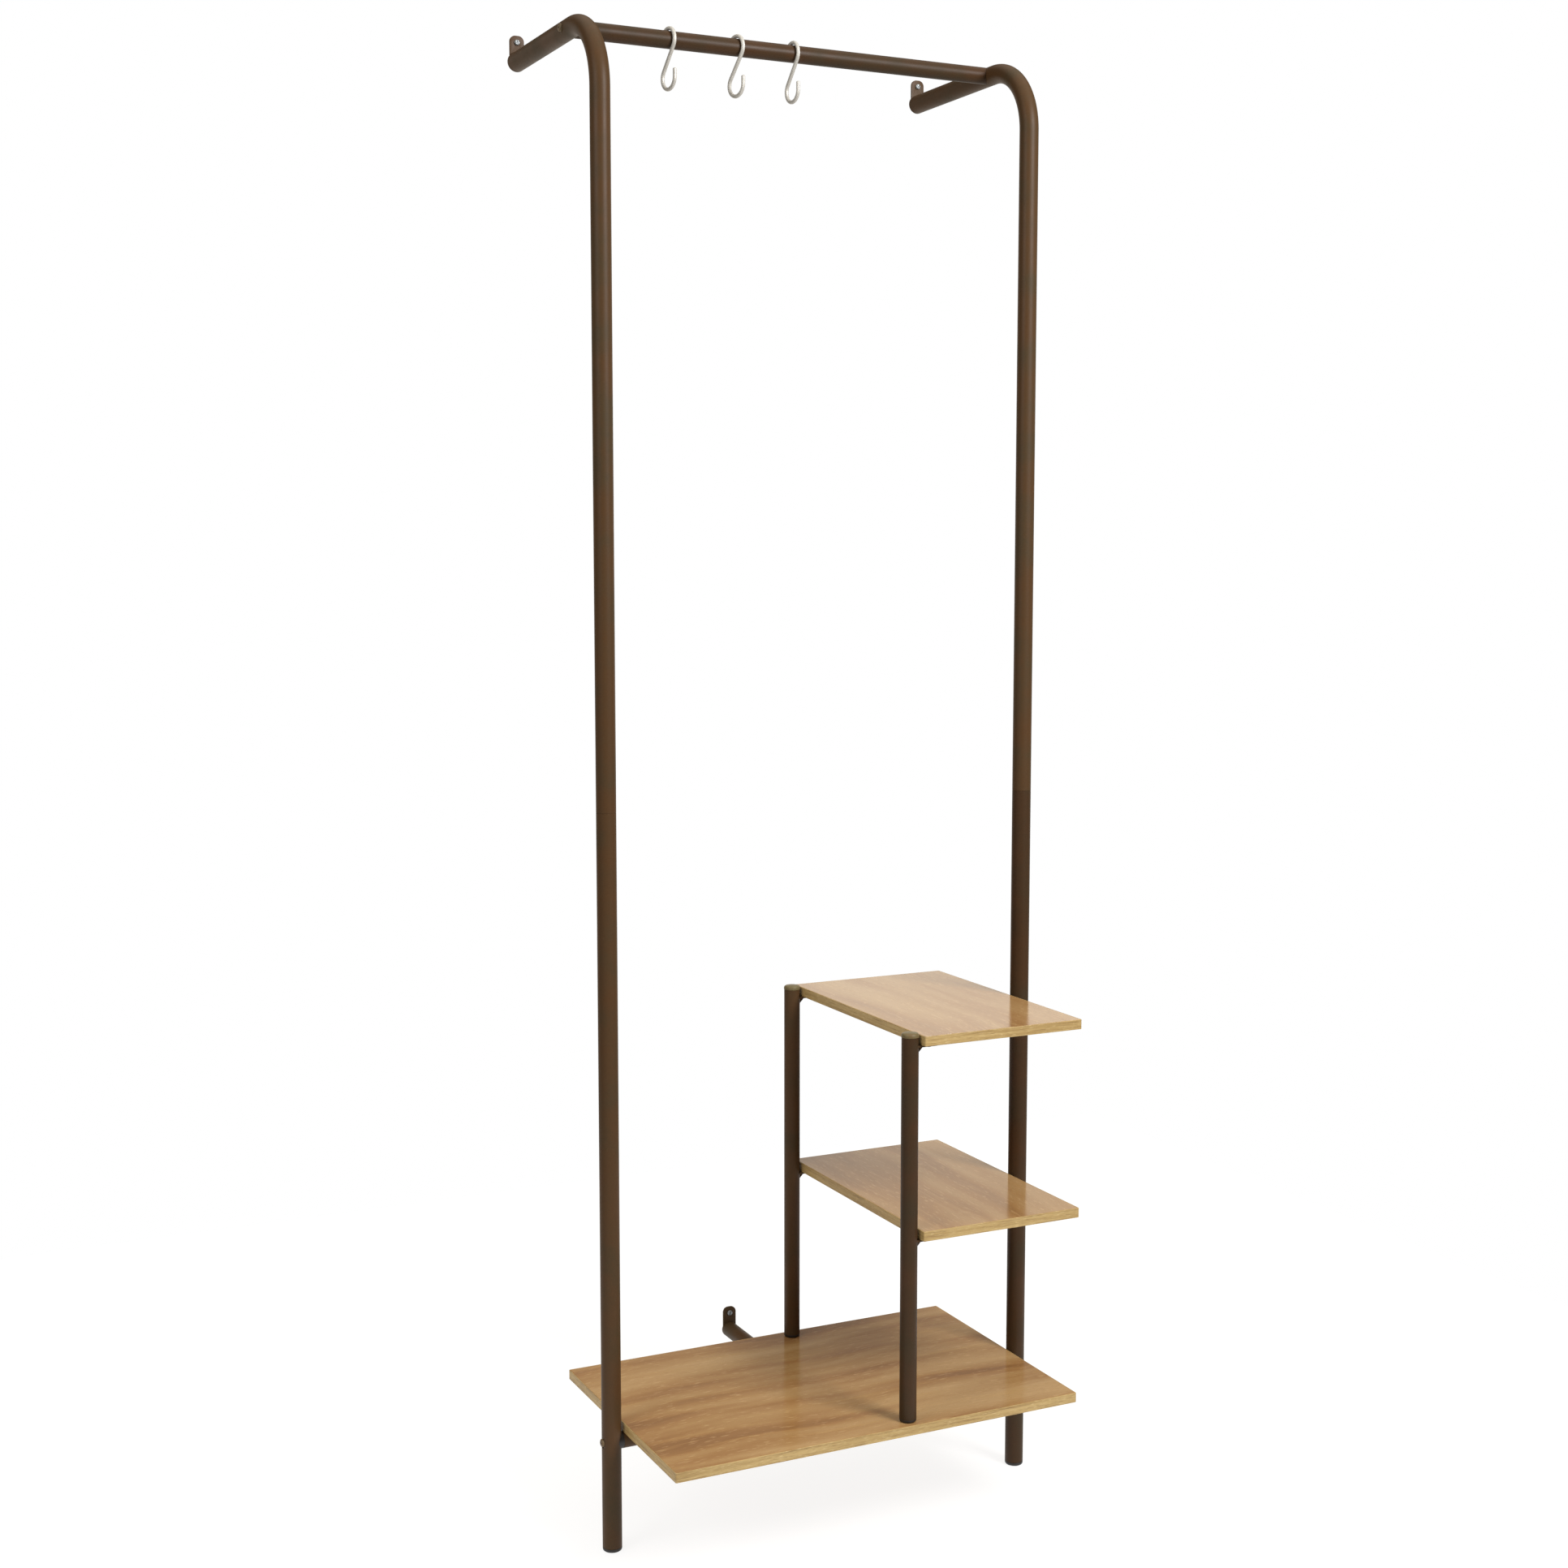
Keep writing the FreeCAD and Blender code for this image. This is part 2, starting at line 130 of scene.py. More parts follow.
def studioWorld(values):
    # white background behind, dim room on the camera's side, broad soft light from above
    world = bpy.data.worlds.new("whiteStudio")
    world.use_nodes = True
    tree = world.node_tree
    tree.nodes.clear()
    way = addNode(tree, "ShaderNodeTexCoord").outputs["Generated"]
    height = addNode(tree, "ShaderNodeSeparateXYZ", {0: way}).outputs["Z"]
    depth = addNode(tree, "ShaderNodeVectorMath", {0: way, 1: values["backWay"]}, operation="DOT_PRODUCT")
    around = addNode(tree, "ShaderNodeMapRange", {
        "Value": depth.outputs["Value"],
        **fromTo(values["backEdge"], (values["frontStrength"], values["backStrength"]))})
    rising = addNode(tree, "ShaderNodeMapRange", {
        "Value": height, **fromTo(values["wallTop"], (1.0, values["midStrength"]))})
    wall = addNode(tree, "ShaderNodeMath", {
        0: around.outputs[0], 1: rising.outputs[0]}, operation="MULTIPLY")
    sky = addNode(tree, "ShaderNodeMapRange", {"Value": height, **fromTo(values["skyEdge"])})
    light = addNode(tree, "ShaderNodeMix", {
        "Factor": sky.outputs[0], "A": wall.outputs[0], "B": values["skyStrength"]})
    path = addNode(tree, "ShaderNodeLightPath")
    lit = addNode(tree, "ShaderNodeBackground", {
        "Color": hexColour(values["wallWhite"]), "Strength": light.outputs["Result"]})
    seen = addNode(tree, "ShaderNodeBackground", {"Color": hexColour(values["paperWhite"])})
    both = addNode(tree, "ShaderNodeMixShader", {
        0: path.outputs["Is Camera Ray"], 1: lit.outputs[0], 2: seen.outputs[0]})
    addNode(tree, "ShaderNodeOutputWorld", {"Surface": both.outputs[0]})
    return world


def buildStudio(values):
    scene = bpy.context.scene
    scene.view_settings.view_transform = "Standard"
    camera = bpy.data.objects.new("rackCamera", bpy.data.cameras.new("rackCamera"))
    camera.data.lens = values["lens"]
    camera.data.sensor_width = values["sensorWidth"]
    camera.location = values["cameraPlace"]
    camera.rotation_euler = [math.radians(turn) for turn in values["cameraTurn"]]
    scene.collection.objects.link(camera)
    bpy.context.scene.camera = camera
    for label in ("key", "side"):
        lamp = bpy.data.objects.new(label + "Softbox", bpy.data.lights.new(label + "Softbox", "AREA"))
        lamp.data.energy = values[label + "Power"]
        lamp.data.size = values[label + "Size"]
        lamp.location = values[label + "Place"]
        towards = Vector(values["aim"]) - lamp.location
        lamp.rotation_euler = towards.to_track_quat("-Z", "Y").to_euler()
        scene.collection.objects.link(lamp)
    scene.world = studioWorld(values)
    half = values["floorHalf"]
    mesh = bpy.data.meshes.new("studioFloor")
    mesh.from_pydata([(-half, -half, 0), (half, -half, 0), (half, half, 0), (-half, half, 0)],
                     [], [(0, 1, 2, 3)])
    floor = bpy.data.objects.new("studioFloor", mesh)
    scene.collection.objects.link(floor)
    paper, tree = newMaterial("matt white background paper")
    skin = addNode(tree, "ShaderNodeBsdfPrincipled", {
        "Base Color": hexColour(values["floorColour"]), "Roughness": 0.9, "Specular IOR Level": 0.1,
        "Emission Color": hexColour(values["paperWhite"]), "Emission Strength": values["floorGlow"]})
    addNode(tree, "ShaderNodeOutputMaterial", {"Surface": skin.outputs[0]})
    mesh.materials.append(paper)


buildStudio(studio)
print("studio ready")


def toneRamp(values):
    # the material's named colours, at their places along its ramp
    return [(position, values[shade]) for position, shade in values["ramp"]]


def mottledSkin(name, values):
    # a clouded tone whose gloss drifts with it, over a fine relief; paint shows its grit too
    material, tree = newMaterial(name)
    place = addNode(tree, "ShaderNodeTexCoord").outputs["Object"]
    cloud = addNode(tree, "ShaderNodeTexNoise", {
        "Vector": place, "Scale": perMetre / values["cloudMm"], "Detail": values["cloudDetail"],
        "Roughness": values["cloudRoughness"]}).outputs["Fac"]
    colour = addNode(tree, "ShaderNodeValToRGB", {"Fac": cloud}, toneRamp(values)).outputs["Color"]
    if "grit" in values:
        grit = addNode(tree, "ShaderNodeTexVoronoi", {
            "Vector": place, "Scale": perMetre / values["gritMm"]})
        speckle = addNode(tree, "ShaderNodeMapRange", {
            "Value": grit.outputs["Distance"],
            **fromTo((0.0, values["gritReach"]), (values["gritLift"], 0.0))})
        # a colour mix keeps its two colours in sockets 6 and 7
        colour = addNode(tree, "ShaderNodeMix", data_type="RGBA", inputs={
            0: speckle.outputs["Result"], 6: colour, 7: hexColour(values["grit"])}).outputs[2]
    gloss = addNode(tree, "ShaderNodeMapRange", {
        "Value": cloud, **fromTo(noiseSpan, values["roughness"])})
    fine = addNode(tree, "ShaderNodeTexNoise", {
        "Vector": place, "Scale": perMetre / values["fineMm"], "Detail": values["fineDetail"],
        "Roughness": values["fineRoughness"]})
    relief = addNode(tree, "ShaderNodeBump", {
        "Height": fine.outputs["Fac"], "Strength": values["reliefStrength"],
        "Distance": values["reliefMm"] * mm})
    skin = addNode(tree, "ShaderNodeBsdfPrincipled", {
        "Base Color": colour, "Metallic": values["metallic"], "Roughness": gloss.outputs["Result"],
        "Normal": relief.outputs["Normal"], "Specular IOR Level": values["specular"]})
    addNode(tree, "ShaderNodeOutputMaterial", {"Surface": skin.outputs[0]})
    return material


# sprayed and baked polyester powder: a satin skin with a fine pebbled feel, a little
# uneven in tone from hand to hand of the spray pass, warmer where it lies thin
bronzeValues = {
    "body": "#4a3520", "warm": "#4d351f", "cool": "#433522", "grit": "#665036",
    "ramp": ((0.34, "warm"), (0.5, "body"), (0.68, "cool")),
    "cloudMm": 48.0, "cloudDetail": 3.0, "cloudRoughness": 0.55,
    "fineMm": 1.1, "fineDetail": 2.0, "fineRoughness": 0.6,
    "gritMm": 0.9, "gritReach": 0.45, "gritLift": 0.35,
    "roughness": (0.41, 0.51), "reliefStrength": 0.22, "reliefMm": 0.12,
    "metallic": 0.0, "specular": 0.16,
}
# a darker copy of the bronze coat: painted shade on the rail, the right lower upright and the front post,
# which sit darker in shade; on the right upright it is also the real tone step at its seam
shadeDarkBronzeValues = dict(bronzeValues, body="#3d2b1a", warm="#422c1a", cool="#392c1c", grit="#57442d")
boltValues = dict(bronzeValues, body="#6a5842", warm="#6c553f", cool="#6a5d47",
                  roughness=(0.31, 0.41), fineMm=0.8, cloudMm=9.0)
# moulded in the same bronze, so smoother than paint, with only a slight ripple
capValues = dict(bronzeValues, body="#6c6143", warm="#6b5a3e", cool="#736a4b",
                 roughness=(0.29, 0.39), fineMm=1.4, cloudMm=14.0, reliefStrength=0.1)
# plated or turned steel: satin, cloudy from the bath or from handling, with the faint
# lines of drawing or turning; dull plating mirrors less than solid metal does
steelValues = {
    "bright": "#8f8d89", "dull": "#6a6864", "ramp": ((0.35, "dull"), (0.62, "bright")),
    "cloudMm": 9.0, "cloudDetail": 3.0, "cloudRoughness": 0.5,
    "fineMm": 0.8, "fineDetail": 1.0, "fineRoughness": 0.5,
    "roughness": (0.48, 0.38), "reliefStrength": 0.15, "reliefMm": 0.02,
    "metallic": 1.0, "specular": 0.5,
}
nickelValues = dict(steelValues, bright="#cfcbc3", dull="#c5c1b9", fineMm=0.6,
                    roughness=(0.61, 0.51), metallic=0.5)
zincValues = dict(steelValues, bright="#a2a5a6", dull="#808485", cloudMm=3.0, fineMm=0.5,
                  roughness=(0.56, 0.46), metallic=0.85)
# injection-moulded nylon: even, faintly matt, with the mould's spark-eroded grain
nylonValues = {
    "body": "#1a1512", "worn": "#2a2420", "ramp": ((0.4, "body"), (0.75, "worn")),
    "cloudMm": 12.0, "cloudDetail": 2.0, "cloudRoughness": 0.5,
    "fineMm": 0.7, "fineDetail": 2.0, "fineRoughness": 0.5,
    "roughness": (0.42, 0.56), "reliefStrength": 0.3, "reliefMm": 0.05,
    "metallic": 0.0, "specular": 0.5,
}
# a finish is a material and its slot name
bronzePowderCoat = (mottledSkin("bronze powder coat on steel tube", bronzeValues), "bronze_powder_coat")
# the darker coat is painted shade, not a paint of its own
bronzeShadePaintedCoat = (mottledSkin("bronze powder coat darkened for painted shade", shadeDarkBronzeValues), "bronze_powder_coat")
bronzeBoltPaint = (mottledSkin("bronze paint on button-head bolts", boltValues), "bronze_bolt")
bronzeCapPlastic = (mottledSkin("bronze moulded end caps", capValues), "bronze_cap")
nickelWire = (mottledSkin("bright nickel plating on drawn wire", nickelValues), "nickel_wire")
zincPlate = (mottledSkin("bright zinc plating on screws", zincValues), "zinc_screw")
blackNylon = (mottledSkin("black moulded nylon", nylonValues), "black_nylon")
turnedSteel = mottledSkin("plain turned steel inserts and sleeves", steelValues)


def printLayers(tree, place, values):
    # each layer of a printed grain: a noise stretched to its size in mm along x, y and z
    layers = {}
    for layer, (size, detail) in values["layers"].items():
        stretched = addNode(tree, "ShaderNodeMapping", {
            "Vector": place, "Scale": [perMetre / length for length in size]})
        layers[layer] = addNode(tree, "ShaderNodeTexNoise", {
            "Vector": stretched.outputs[0], "Scale": 1.0, "Detail": detail,
            "Roughness": values["layerRoughness"]}).outputs["Fac"]
    return layers


def printOver(tree, colour, layers, values):
    # lays each overlay's shade on the colour, as far as its layer goes from low to high
    for layer, low, high, shade, amount in values["overlays"]:
        mask = addNode(tree, "ShaderNodeMapRange", {
            "Value": layers[layer], **fromTo((low, high), (0.0, amount))})
        colour = addNode(tree, "ShaderNodeMix", data_type="RGBA", inputs={
            0: mask.outputs["Result"], 6: colour, 7: hexColour(values[shade])}).outputs[2]
    return colour


def oakFoil(name, values, turn):
    # printed oak foil, pressed on chipboard and lacquered: broad flame bands run with the
    # grain, short dark pores lie in them, and the lacquer mirrors what stands on the board
    material, tree = newMaterial(name)
    source = addNode(tree, "ShaderNodeTexCoord").outputs["Object"]
    place = addNode(tree, "ShaderNodeMapping", {
        "Vector": source, "Rotation": (0.0, 0.0, math.radians(turn))}).outputs["Vector"]
    drift = addNode(tree, "ShaderNodeTexNoise", {
        "Vector": place, "Scale": perMetre / values["driftMm"], "Detail": 1.0})
    swing = addNode(tree, "ShaderNodeVectorMath", {
        0: drift.outputs["Color"], 1: (0.0, values["driftBy"] * mm, 0.0)}, operation="MULTIPLY")
    bent = addNode(tree, "ShaderNodeVectorMath", {0: place, 1: swing.outputs[0]}, operation="ADD")
    layers = printLayers(tree, bent.outputs[0], values)
    tone = addNode(tree, "ShaderNodeValToRGB", {"Fac": layers["flame"]}, toneRamp(values))
    colour = printOver(tree, tone.outputs["Color"], layers, values)
    wave = addNode(tree, "ShaderNodeTexNoise", {
        "Vector": source, "Scale": perMetre / values["waveMm"], "Detail": 1.0})
    slow = addNode(tree, "ShaderNodeBump", {
        "Height": wave.outputs["Fac"], "Strength": 1.0, "Distance": values["waveHigh"] * mm})
    relief = addNode(tree, "ShaderNodeBump", {
        "Height": layers["fibre"], "Strength": values["reliefStrength"],
        "Distance": values["reliefMm"] * mm, "Normal": slow.outputs["Normal"]})
    gloss = addNode(tree, "ShaderNodeMapRange", {
        "Value": layers["streak"], **fromTo(noiseSpan, values["roughness"])})
    skin = addNode(tree, "ShaderNodeBsdfPrincipled", {
        "Base Color": colour, "Roughness": gloss.outputs["Result"],
        "Normal": relief.outputs["Normal"], "IOR": 1.5})
    addNode(tree, "ShaderNodeOutputMaterial", {"Surface": skin.outputs[0]})
    return material


foilValues = {
    "body": "#a27e51", "pale": "#b19063", "red": "#977045", "dark": "#86603b",
    "pore": "#855c37", "fleck": "#c5a374", "streakDark": "#9a7045", "streakPale": "#b8935f",
    "ramp": ((0.35, "dark"), (0.43, "red"), (0.51, "body"), (0.66, "pale")),
    "layers": {  # size in mm, detail
        "flame": ((480.0, 56.0, 56.0), 2.0),
        "streak": ((150.0, 6.0, 6.0), 3.0),
        "fibre": ((38.0, 1.3, 1.3), 2.0),
        "pore": ((9.0, 0.9, 0.9), 1.0),  # drawn coarser than the print's, to show at all
        "fleck": ((16.0, 3.6, 3.6), 2.0),
    },
    "layerRoughness": 0.55,
    "driftMm": 260.0, "driftBy": 46.0,
    "overlays": (
        ("streak", 0.56, 0.74, "streakDark", 0.26),
        ("streak", 0.44, 0.28, "streakPale", 0.3),
        ("fibre", 0.55, 0.8, "streakDark", 0.26),
        ("fleck", 0.58, 0.7, "fleck", 0.38),
        ("pore", 0.62, 0.76, "pore", 0.5),
    ),
    "waveMm": 60.0, "waveHigh": 0.04, "reliefMm": 0.05, "reliefStrength": 0.2,
    "roughness": (0.11, 0.18),
}
oakFoilLong = (oakFoil("lacquered oak foil, grain lengthwise", foilValues, 0.0), "oak_laminate_board")
shelfFoilValues = dict(foilValues, body="#a48155", pale="#ad8c60", red="#9d774b", dark="#946f46")
oakFoilDeep = (oakFoil("lacquered oak foil, grain front to back", shelfFoilValues, 90.0),
               "oak_laminate_board")


def edgeBand(values):
    # thin oak-print edging, ironed on: yellower than the faces, drawn lengthwise in fine
    # broken streaks, less glossy than the lacquered tops
    material, tree = newMaterial("oak edge band")
    place = addNode(tree, "ShaderNodeTexCoord").outputs["Object"]
    layers = printLayers(tree, place, values)
    tone = addNode(tree, "ShaderNodeValToRGB", {"Fac": layers["ply"]}, toneRamp(values))
    colour = printOver(tree, tone.outputs["Color"], layers, values)
    relief = addNode(tree, "ShaderNodeBump", {
        "Height": layers["streak"], "Strength": values["reliefStrength"],
        "Distance": values["reliefMm"] * mm})
    skin = addNode(tree, "ShaderNodeBsdfPrincipled", {
        "Base Color": colour, "Roughness": values["roughness"], "Normal": relief.outputs["Normal"]})
    addNode(tree, "ShaderNodeOutputMaterial", {"Surface": skin.outputs[0]})
    return material


bandValues = {
    "dark": "#9f814d", "pale": "#b99d67", "line": "#795a31", "fleck": "#d2bb8a",
    "ramp": ((0.34, "dark"), (0.66, "pale")),
    "layers": {
        "ply": ((180.0, 180.0, 4.2), 3.0),
        "streak": ((52.0, 52.0, 1.6), 3.0),
        "fleck": ((9.0, 9.0, 1.1), 3.0),
    },
    "layerRoughness": 0.6,
    "overlays": (
        ("streak", 0.54, 0.68, "line", 0.75),
        ("fleck", 0.56, 0.7, "fleck", 0.6),
        ("fleck", 0.4, 0.28, "line", 0.55),
    ),
    "reliefMm": 0.05, "reliefStrength": 0.3,
    "roughness": 0.55,
}
oakEdgeBand = (edgeBand(bandValues), "oak_edge_band")
print("materials ready")

# degrees past which an edge between two faces is sharp
roundStock = 32.0
flatStock = 18.0  # keeps the eased rims of boards and plates from bending the light on their faces
fastenerStock = 38.0


def newPiece(name, mesh, finish, *nodes, body="rack", sharpAngle=roundStock):
    # faces out, smooth shaded, and sharp only where the shape really turns
    material, slotName = finish
    work = bmesh.new()
    work.from_mesh(mesh)
    bmesh.ops.remove_doubles(work, verts=work.verts, dist=0.002 * mm)
    bmesh.ops.recalc_face_normals(work, faces=work.faces)
    for face in work.faces:
        face.smooth = True
    work.to_mesh(mesh)
    work.free()
    mesh.set_sharp_from_angle(angle=math.radians(sharpAngle))
    mesh.materials.clear()
    mesh.materials.append(material)
    for polygon in mesh.polygons:
        polygon.material_index = 0
    piece = bpy.data.objects.new(name, mesh)
    bpy.context.scene.collection.objects.link(piece)
    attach(piece, body)
    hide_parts(*nodes)


def meshFrom(name, work):
    mesh = bpy.data.meshes.new(name)
    work.to_mesh(mesh)
    work.free()
    return mesh


def joinMeshes(name, meshes):
    work = bmesh.new()
    for mesh in meshes:
        work.from_mesh(mesh)
    return meshFrom(name, work)


def plainMesh(carrier):
    # what an object's modifiers or curve settings come to
    graph = bpy.context.evaluated_depsgraph_get()
    return bpy.data.meshes.new_from_object(carrier.evaluated_get(graph), depsgraph=graph)


def newTree(name, inputs):
    tree = bpy.data.node_groups.new(name, "GeometryNodeTree")
    tree.interface.new_socket("Geometry", in_out="INPUT", socket_type="NodeSocketGeometry")
    for label, kind in inputs:
        tree.interface.new_socket(label, in_out="INPUT", socket_type=kind)
    tree.interface.new_socket("Geometry", in_out="OUTPUT", socket_type="NodeSocketGeometry")
    return tree


def growMesh(name, seed, tree, settings):
    # runs a node tree over a seed mesh and returns the plain mesh that comes out
    carrier = bpy.data.objects.new(name, seed)
    modifier = carrier.modifiers.new(tree.name, "NODES")
    modifier.node_group = tree
    for item in tree.interface.items_tree:
        if item.item_type == "SOCKET" and item.in_out == "INPUT" and item.name in settings:
            modifier[item.identifier] = settings[item.name]
    bpy.context.scene.collection.objects.link(carrier)
    mesh = plainMesh(carrier)
    mesh.name = name
    carrier.modifiers.remove(modifier)
    bpy.data.objects.remove(carrier)
    return mesh


def tubeTree():
    # a round section carried along a path; "swell" on the path's points scales the section
    tree = newTree("tube along a path", (
        ("Radius", "NodeSocketFloat"), ("Sides", "NodeSocketInt"), ("Finish", "NodeSocketMaterial")))
    given = addNode(tree, "NodeGroupInput")
    path = addNode(tree, "GeometryNodeMeshToCurve", {"Mesh": given.outputs["Geometry"]})
    section = addNode(tree, "GeometryNodeCurvePrimitiveCircle", {
        "Resolution": given.outputs["Sides"], "Radius": given.outputs["Radius"]})
    swell = addNode(tree, "GeometryNodeInputNamedAttribute", {"Name": "swell"})
    shape = addNode(tree, "GeometryNodeCurveToMesh", {
        "Curve": path.outputs[0], "Profile Curve": section.outputs[0],
        "Scale": swell.outputs[0], "Fill Caps": True})
    real = addNode(tree, "GeometryNodeRealizeInstances", {"Geometry": shape.outputs[0]})
    finish = addNode(tree, "GeometryNodeSetMaterial", {
        "Geometry": real.outputs[0], "Material": given.outputs["Finish"]})
    addNode(tree, "NodeGroupOutput", {"Geometry": finish.outputs[0]})
    return tree


def fastenerTree():
    # one fastener set on every point, turned the way the point's "aim" says
    tree = newTree("fasteners on points", (
        ("Fastener", "NodeSocketObject"), ("Finish", "NodeSocketMaterial")))
    given = addNode(tree, "NodeGroupInput")
    pattern = addNode(tree, "GeometryNodeObjectInfo", {"Object": given.outputs["Fastener"]})
    aim = addNode(tree, "GeometryNodeInputNamedAttribute", {"Name": "aim"}, data_type="FLOAT_VECTOR")
    turn = addNode(tree, "FunctionNodeEulerToRotation", {"Euler": aim.outputs[0]})
    spread = addNode(tree, "GeometryNodeInstanceOnPoints", {
        "Points": given.outputs["Geometry"], "Instance": pattern.outputs["Geometry"],
        "Rotation": turn.outputs[0]})
    real = addNode(tree, "GeometryNodeRealizeInstances", {"Geometry": spread.outputs[0]})
    finish = addNode(tree, "GeometryNodeSetMaterial", {
        "Geometry": real.outputs[0], "Material": given.outputs["Finish"]})
    addNode(tree, "NodeGroupOutput", {"Geometry": finish.outputs[0]})
    return tree


tubeNodes = tubeTree()
fastenerNodes = fastenerTree()


def tubeMesh(name, path, radius, sides, finish):
    # path: (point, swell) pairs in metres
    seed = bpy.data.meshes.new(name + "Path")
    seed.from_pydata([point for point, swell in path], [(i, i + 1) for i in range(len(path) - 1)], [])
    swell = seed.attributes.new("swell", "FLOAT", "POINT")
    for index, (point, size) in enumerate(path):
        swell.data[index].value = size
    return growMesh(name, seed, tubeNodes, {"Radius": radius, "Sides": sides, "Finish": finish[0]})


def easedPath(points, radius, ease):
    # a tube's path with its two end sections drawn in, which rounds the cut rims
    inset = (radius - ease) / radius
    return [(points[0], inset)] + [(point, 1.0) for point in points[1:-1]] + [(points[-1], inset)]


def ringOf(work, radius, height, sides):
    turns = [2 * math.pi * step / sides for step in range(sides)]
    return [work.verts.new((radius * math.cos(turn), radius * math.sin(turn), height)) for turn in turns]


def skinRings(work, rings, closed=False):
    # four-cornered faces from each ring of vertices to the next
    following = rings[1:] + rings[:1] if closed else rings[1:]
    for ring, further in zip(rings, following):
        for spot in range(len(ring)):
            after = (spot + 1) % len(ring)
            work.faces.new((ring[spot], further[spot], further[after], ring[after]))


def turnedMesh(name, profile, sides=64):
    # profile: (radius, height) pairs from the axis at the bottom to the axis at the top
    work = bmesh.new()
    rings = []
    for radius, height in profile:
        rings.append(ringOf(work, radius, height, sides) if radius else [work.verts.new((0, 0, height))])
    for lower, upper in zip(rings, rings[1:]):
        for step in range(sides):
            after = (step + 1) % sides
            corners = [lower[step % len(lower)], lower[after % len(lower)],
                       upper[after % len(upper)], upper[step % len(upper)]]
            work.faces.new(list(dict.fromkeys(corners)))
    return meshFrom(name, work)


def roundedProfile(radius, low, high, lowRound, highRound, steps=6):
    # a turned disc or rod with rounded rims
    turns = [math.pi / 2 * step / steps for step in range(steps + 1)]
    lower = [(radius - lowRound * (1 - math.sin(turn)), low + lowRound * (1 - math.cos(turn)))
             for turn in turns]
    upper = [(radius - highRound * (1 - math.cos(turn)), high - highRound * (1 - math.sin(turn)))
             for turn in turns]
    return [(0, low)] + lower + upper + [(0, high)]


def plateMesh(name, loops, thickness, easing, place):
    # flat plate from outline loops, its rims eased, laid by the matrix given as its place
    curve = bpy.data.curves.new(name, "CURVE")
    curve.dimensions = "2D"
    curve.fill_mode = "BOTH"
    curve.extrude = thickness / 2 - easing
    curve.bevel_depth = easing
    curve.bevel_resolution = 2
    curve.offset = -easing
    for loop in loops:
        spline = curve.splines.new("POLY")
        spline.points.add(len(loop) - 1)
        for point, (across, up) in zip(spline.points, loop):
            point.co = (across, up, 0, 1)
        spline.use_cyclic_u = True
    carrier = bpy.data.objects.new(name, curve)
    bpy.context.scene.collection.objects.link(carrier)
    mesh = plainMesh(carrier)
    bpy.data.objects.remove(carrier)
    mesh.transform(place)
    return mesh


def arcPoints(centre, radius, start, end, steps):
    points = []
    for step in range(steps + 1):
        turn = math.radians(start + (end - start) * step / steps)
        points.append((centre[0] + radius * math.cos(turn), centre[1] + radius * math.sin(turn)))
    return points


def cutMesh(name, body, cutter):
    # body less cutter, both plain meshes
    whole = bpy.data.objects.new(name, body)
    tool = bpy.data.objects.new(name + "Cutter", cutter)
    for piece in (whole, tool):
        bpy.context.scene.collection.objects.link(piece)
    cut = whole.modifiers.new("recess", "BOOLEAN")
    cut.object = tool
    cut.solver = "EXACT"
    mesh = plainMesh(whole)
    for piece in (whole, tool):
        bpy.data.objects.remove(piece)
    return mesh


# sizes and places that the pieces share, read from the frame
uprightX = centreOf("right_foot_plug").x
uprightY = centreOf("right_foot_plug").y
uprightRadius = widthOf("right_foot_plug") / 2
armZ = centreOf("rail").z
railY = centreOf("rail").y
barRadius = (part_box("rail")[1][2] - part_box("rail")[0][2]) / 2
barZ = centreOf("crossbar").z
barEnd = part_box("crossbar")[1][0]
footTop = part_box("right_upright_lower")[0][2]
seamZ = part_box("right_upright_upper")[0][2]
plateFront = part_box("left_arm_wall_plate")[0][1]
sides = {"left": -1, "right": 1}  # which way each side lies along x
print("sizes read, tube radius in mm:", round(uprightRadius / mm, 2))

# uprights and arms
uprightValues = {
    "bendRadius": 90.0 * mm, "bendSteps": 60, "sides": 160, "rimEase": 0.4 * mm,
    "seatRadius": 6.2 * mm, "seatDepth": 1.2 * mm, "seatShoulder": 1.1 * mm, "seatStep": 0.5 * mm,
    "longStep": 60.0 * mm,
}


def pressSeat(mesh, centre, side, values):
    # flattens a round seat for the bolt head into the outer side of the tube
    flat = side * (abs(centre.x) + uprightRadius - values["seatDepth"])
    inner = values["seatRadius"]
    outer = inner + values["seatShoulder"]
    for vertex in mesh.vertices:
        if (vertex.co.x - centre.x) * side < 0:
            continue
        away = math.hypot(vertex.co.y - centre.y, vertex.co.z - centre.z)
        if away >= outer:
            continue
        share = min(1.0, (outer - away) / (outer - inner))
        share = share * share * (3 - 2 * share)
        vertex.co.x += (flat - vertex.co.x) * share


def runHeights(low, high, seat, values):
    # stations along a straight run: close together round the seat, wide apart elsewhere
    near = values["seatRadius"] + values["seatShoulder"] + values["seatStep"]
    stations = []
    height = low
    while height < high:
        stations.append(height)
        close = seat is not None and seat - near - 1e-6 <= height <= seat + near
        step = values["seatStep"] if close else values["longStep"]
        if seat is not None and height < seat - near < height + step and not close:
            step = seat - near - height
        height += step
    stations.append(high)
    return stations


def lowerUpright(label, side, coat, values):
    x = side * uprightX
    ease = values["rimEase"]
    heights = [footTop] + runHeights(footTop + ease, seamZ - ease, barZ, values) + [seamZ]
    path = easedPath([(x, uprightY, height) for height in heights], uprightRadius, ease)
    name = label + "UprightLower"
    mesh = tubeMesh(name, path, uprightRadius, values["sides"], coat)
    pressSeat(mesh, Vector((x, uprightY, barZ)), side, values)
    newPiece(name, mesh, coat, label + "_upright_lower")


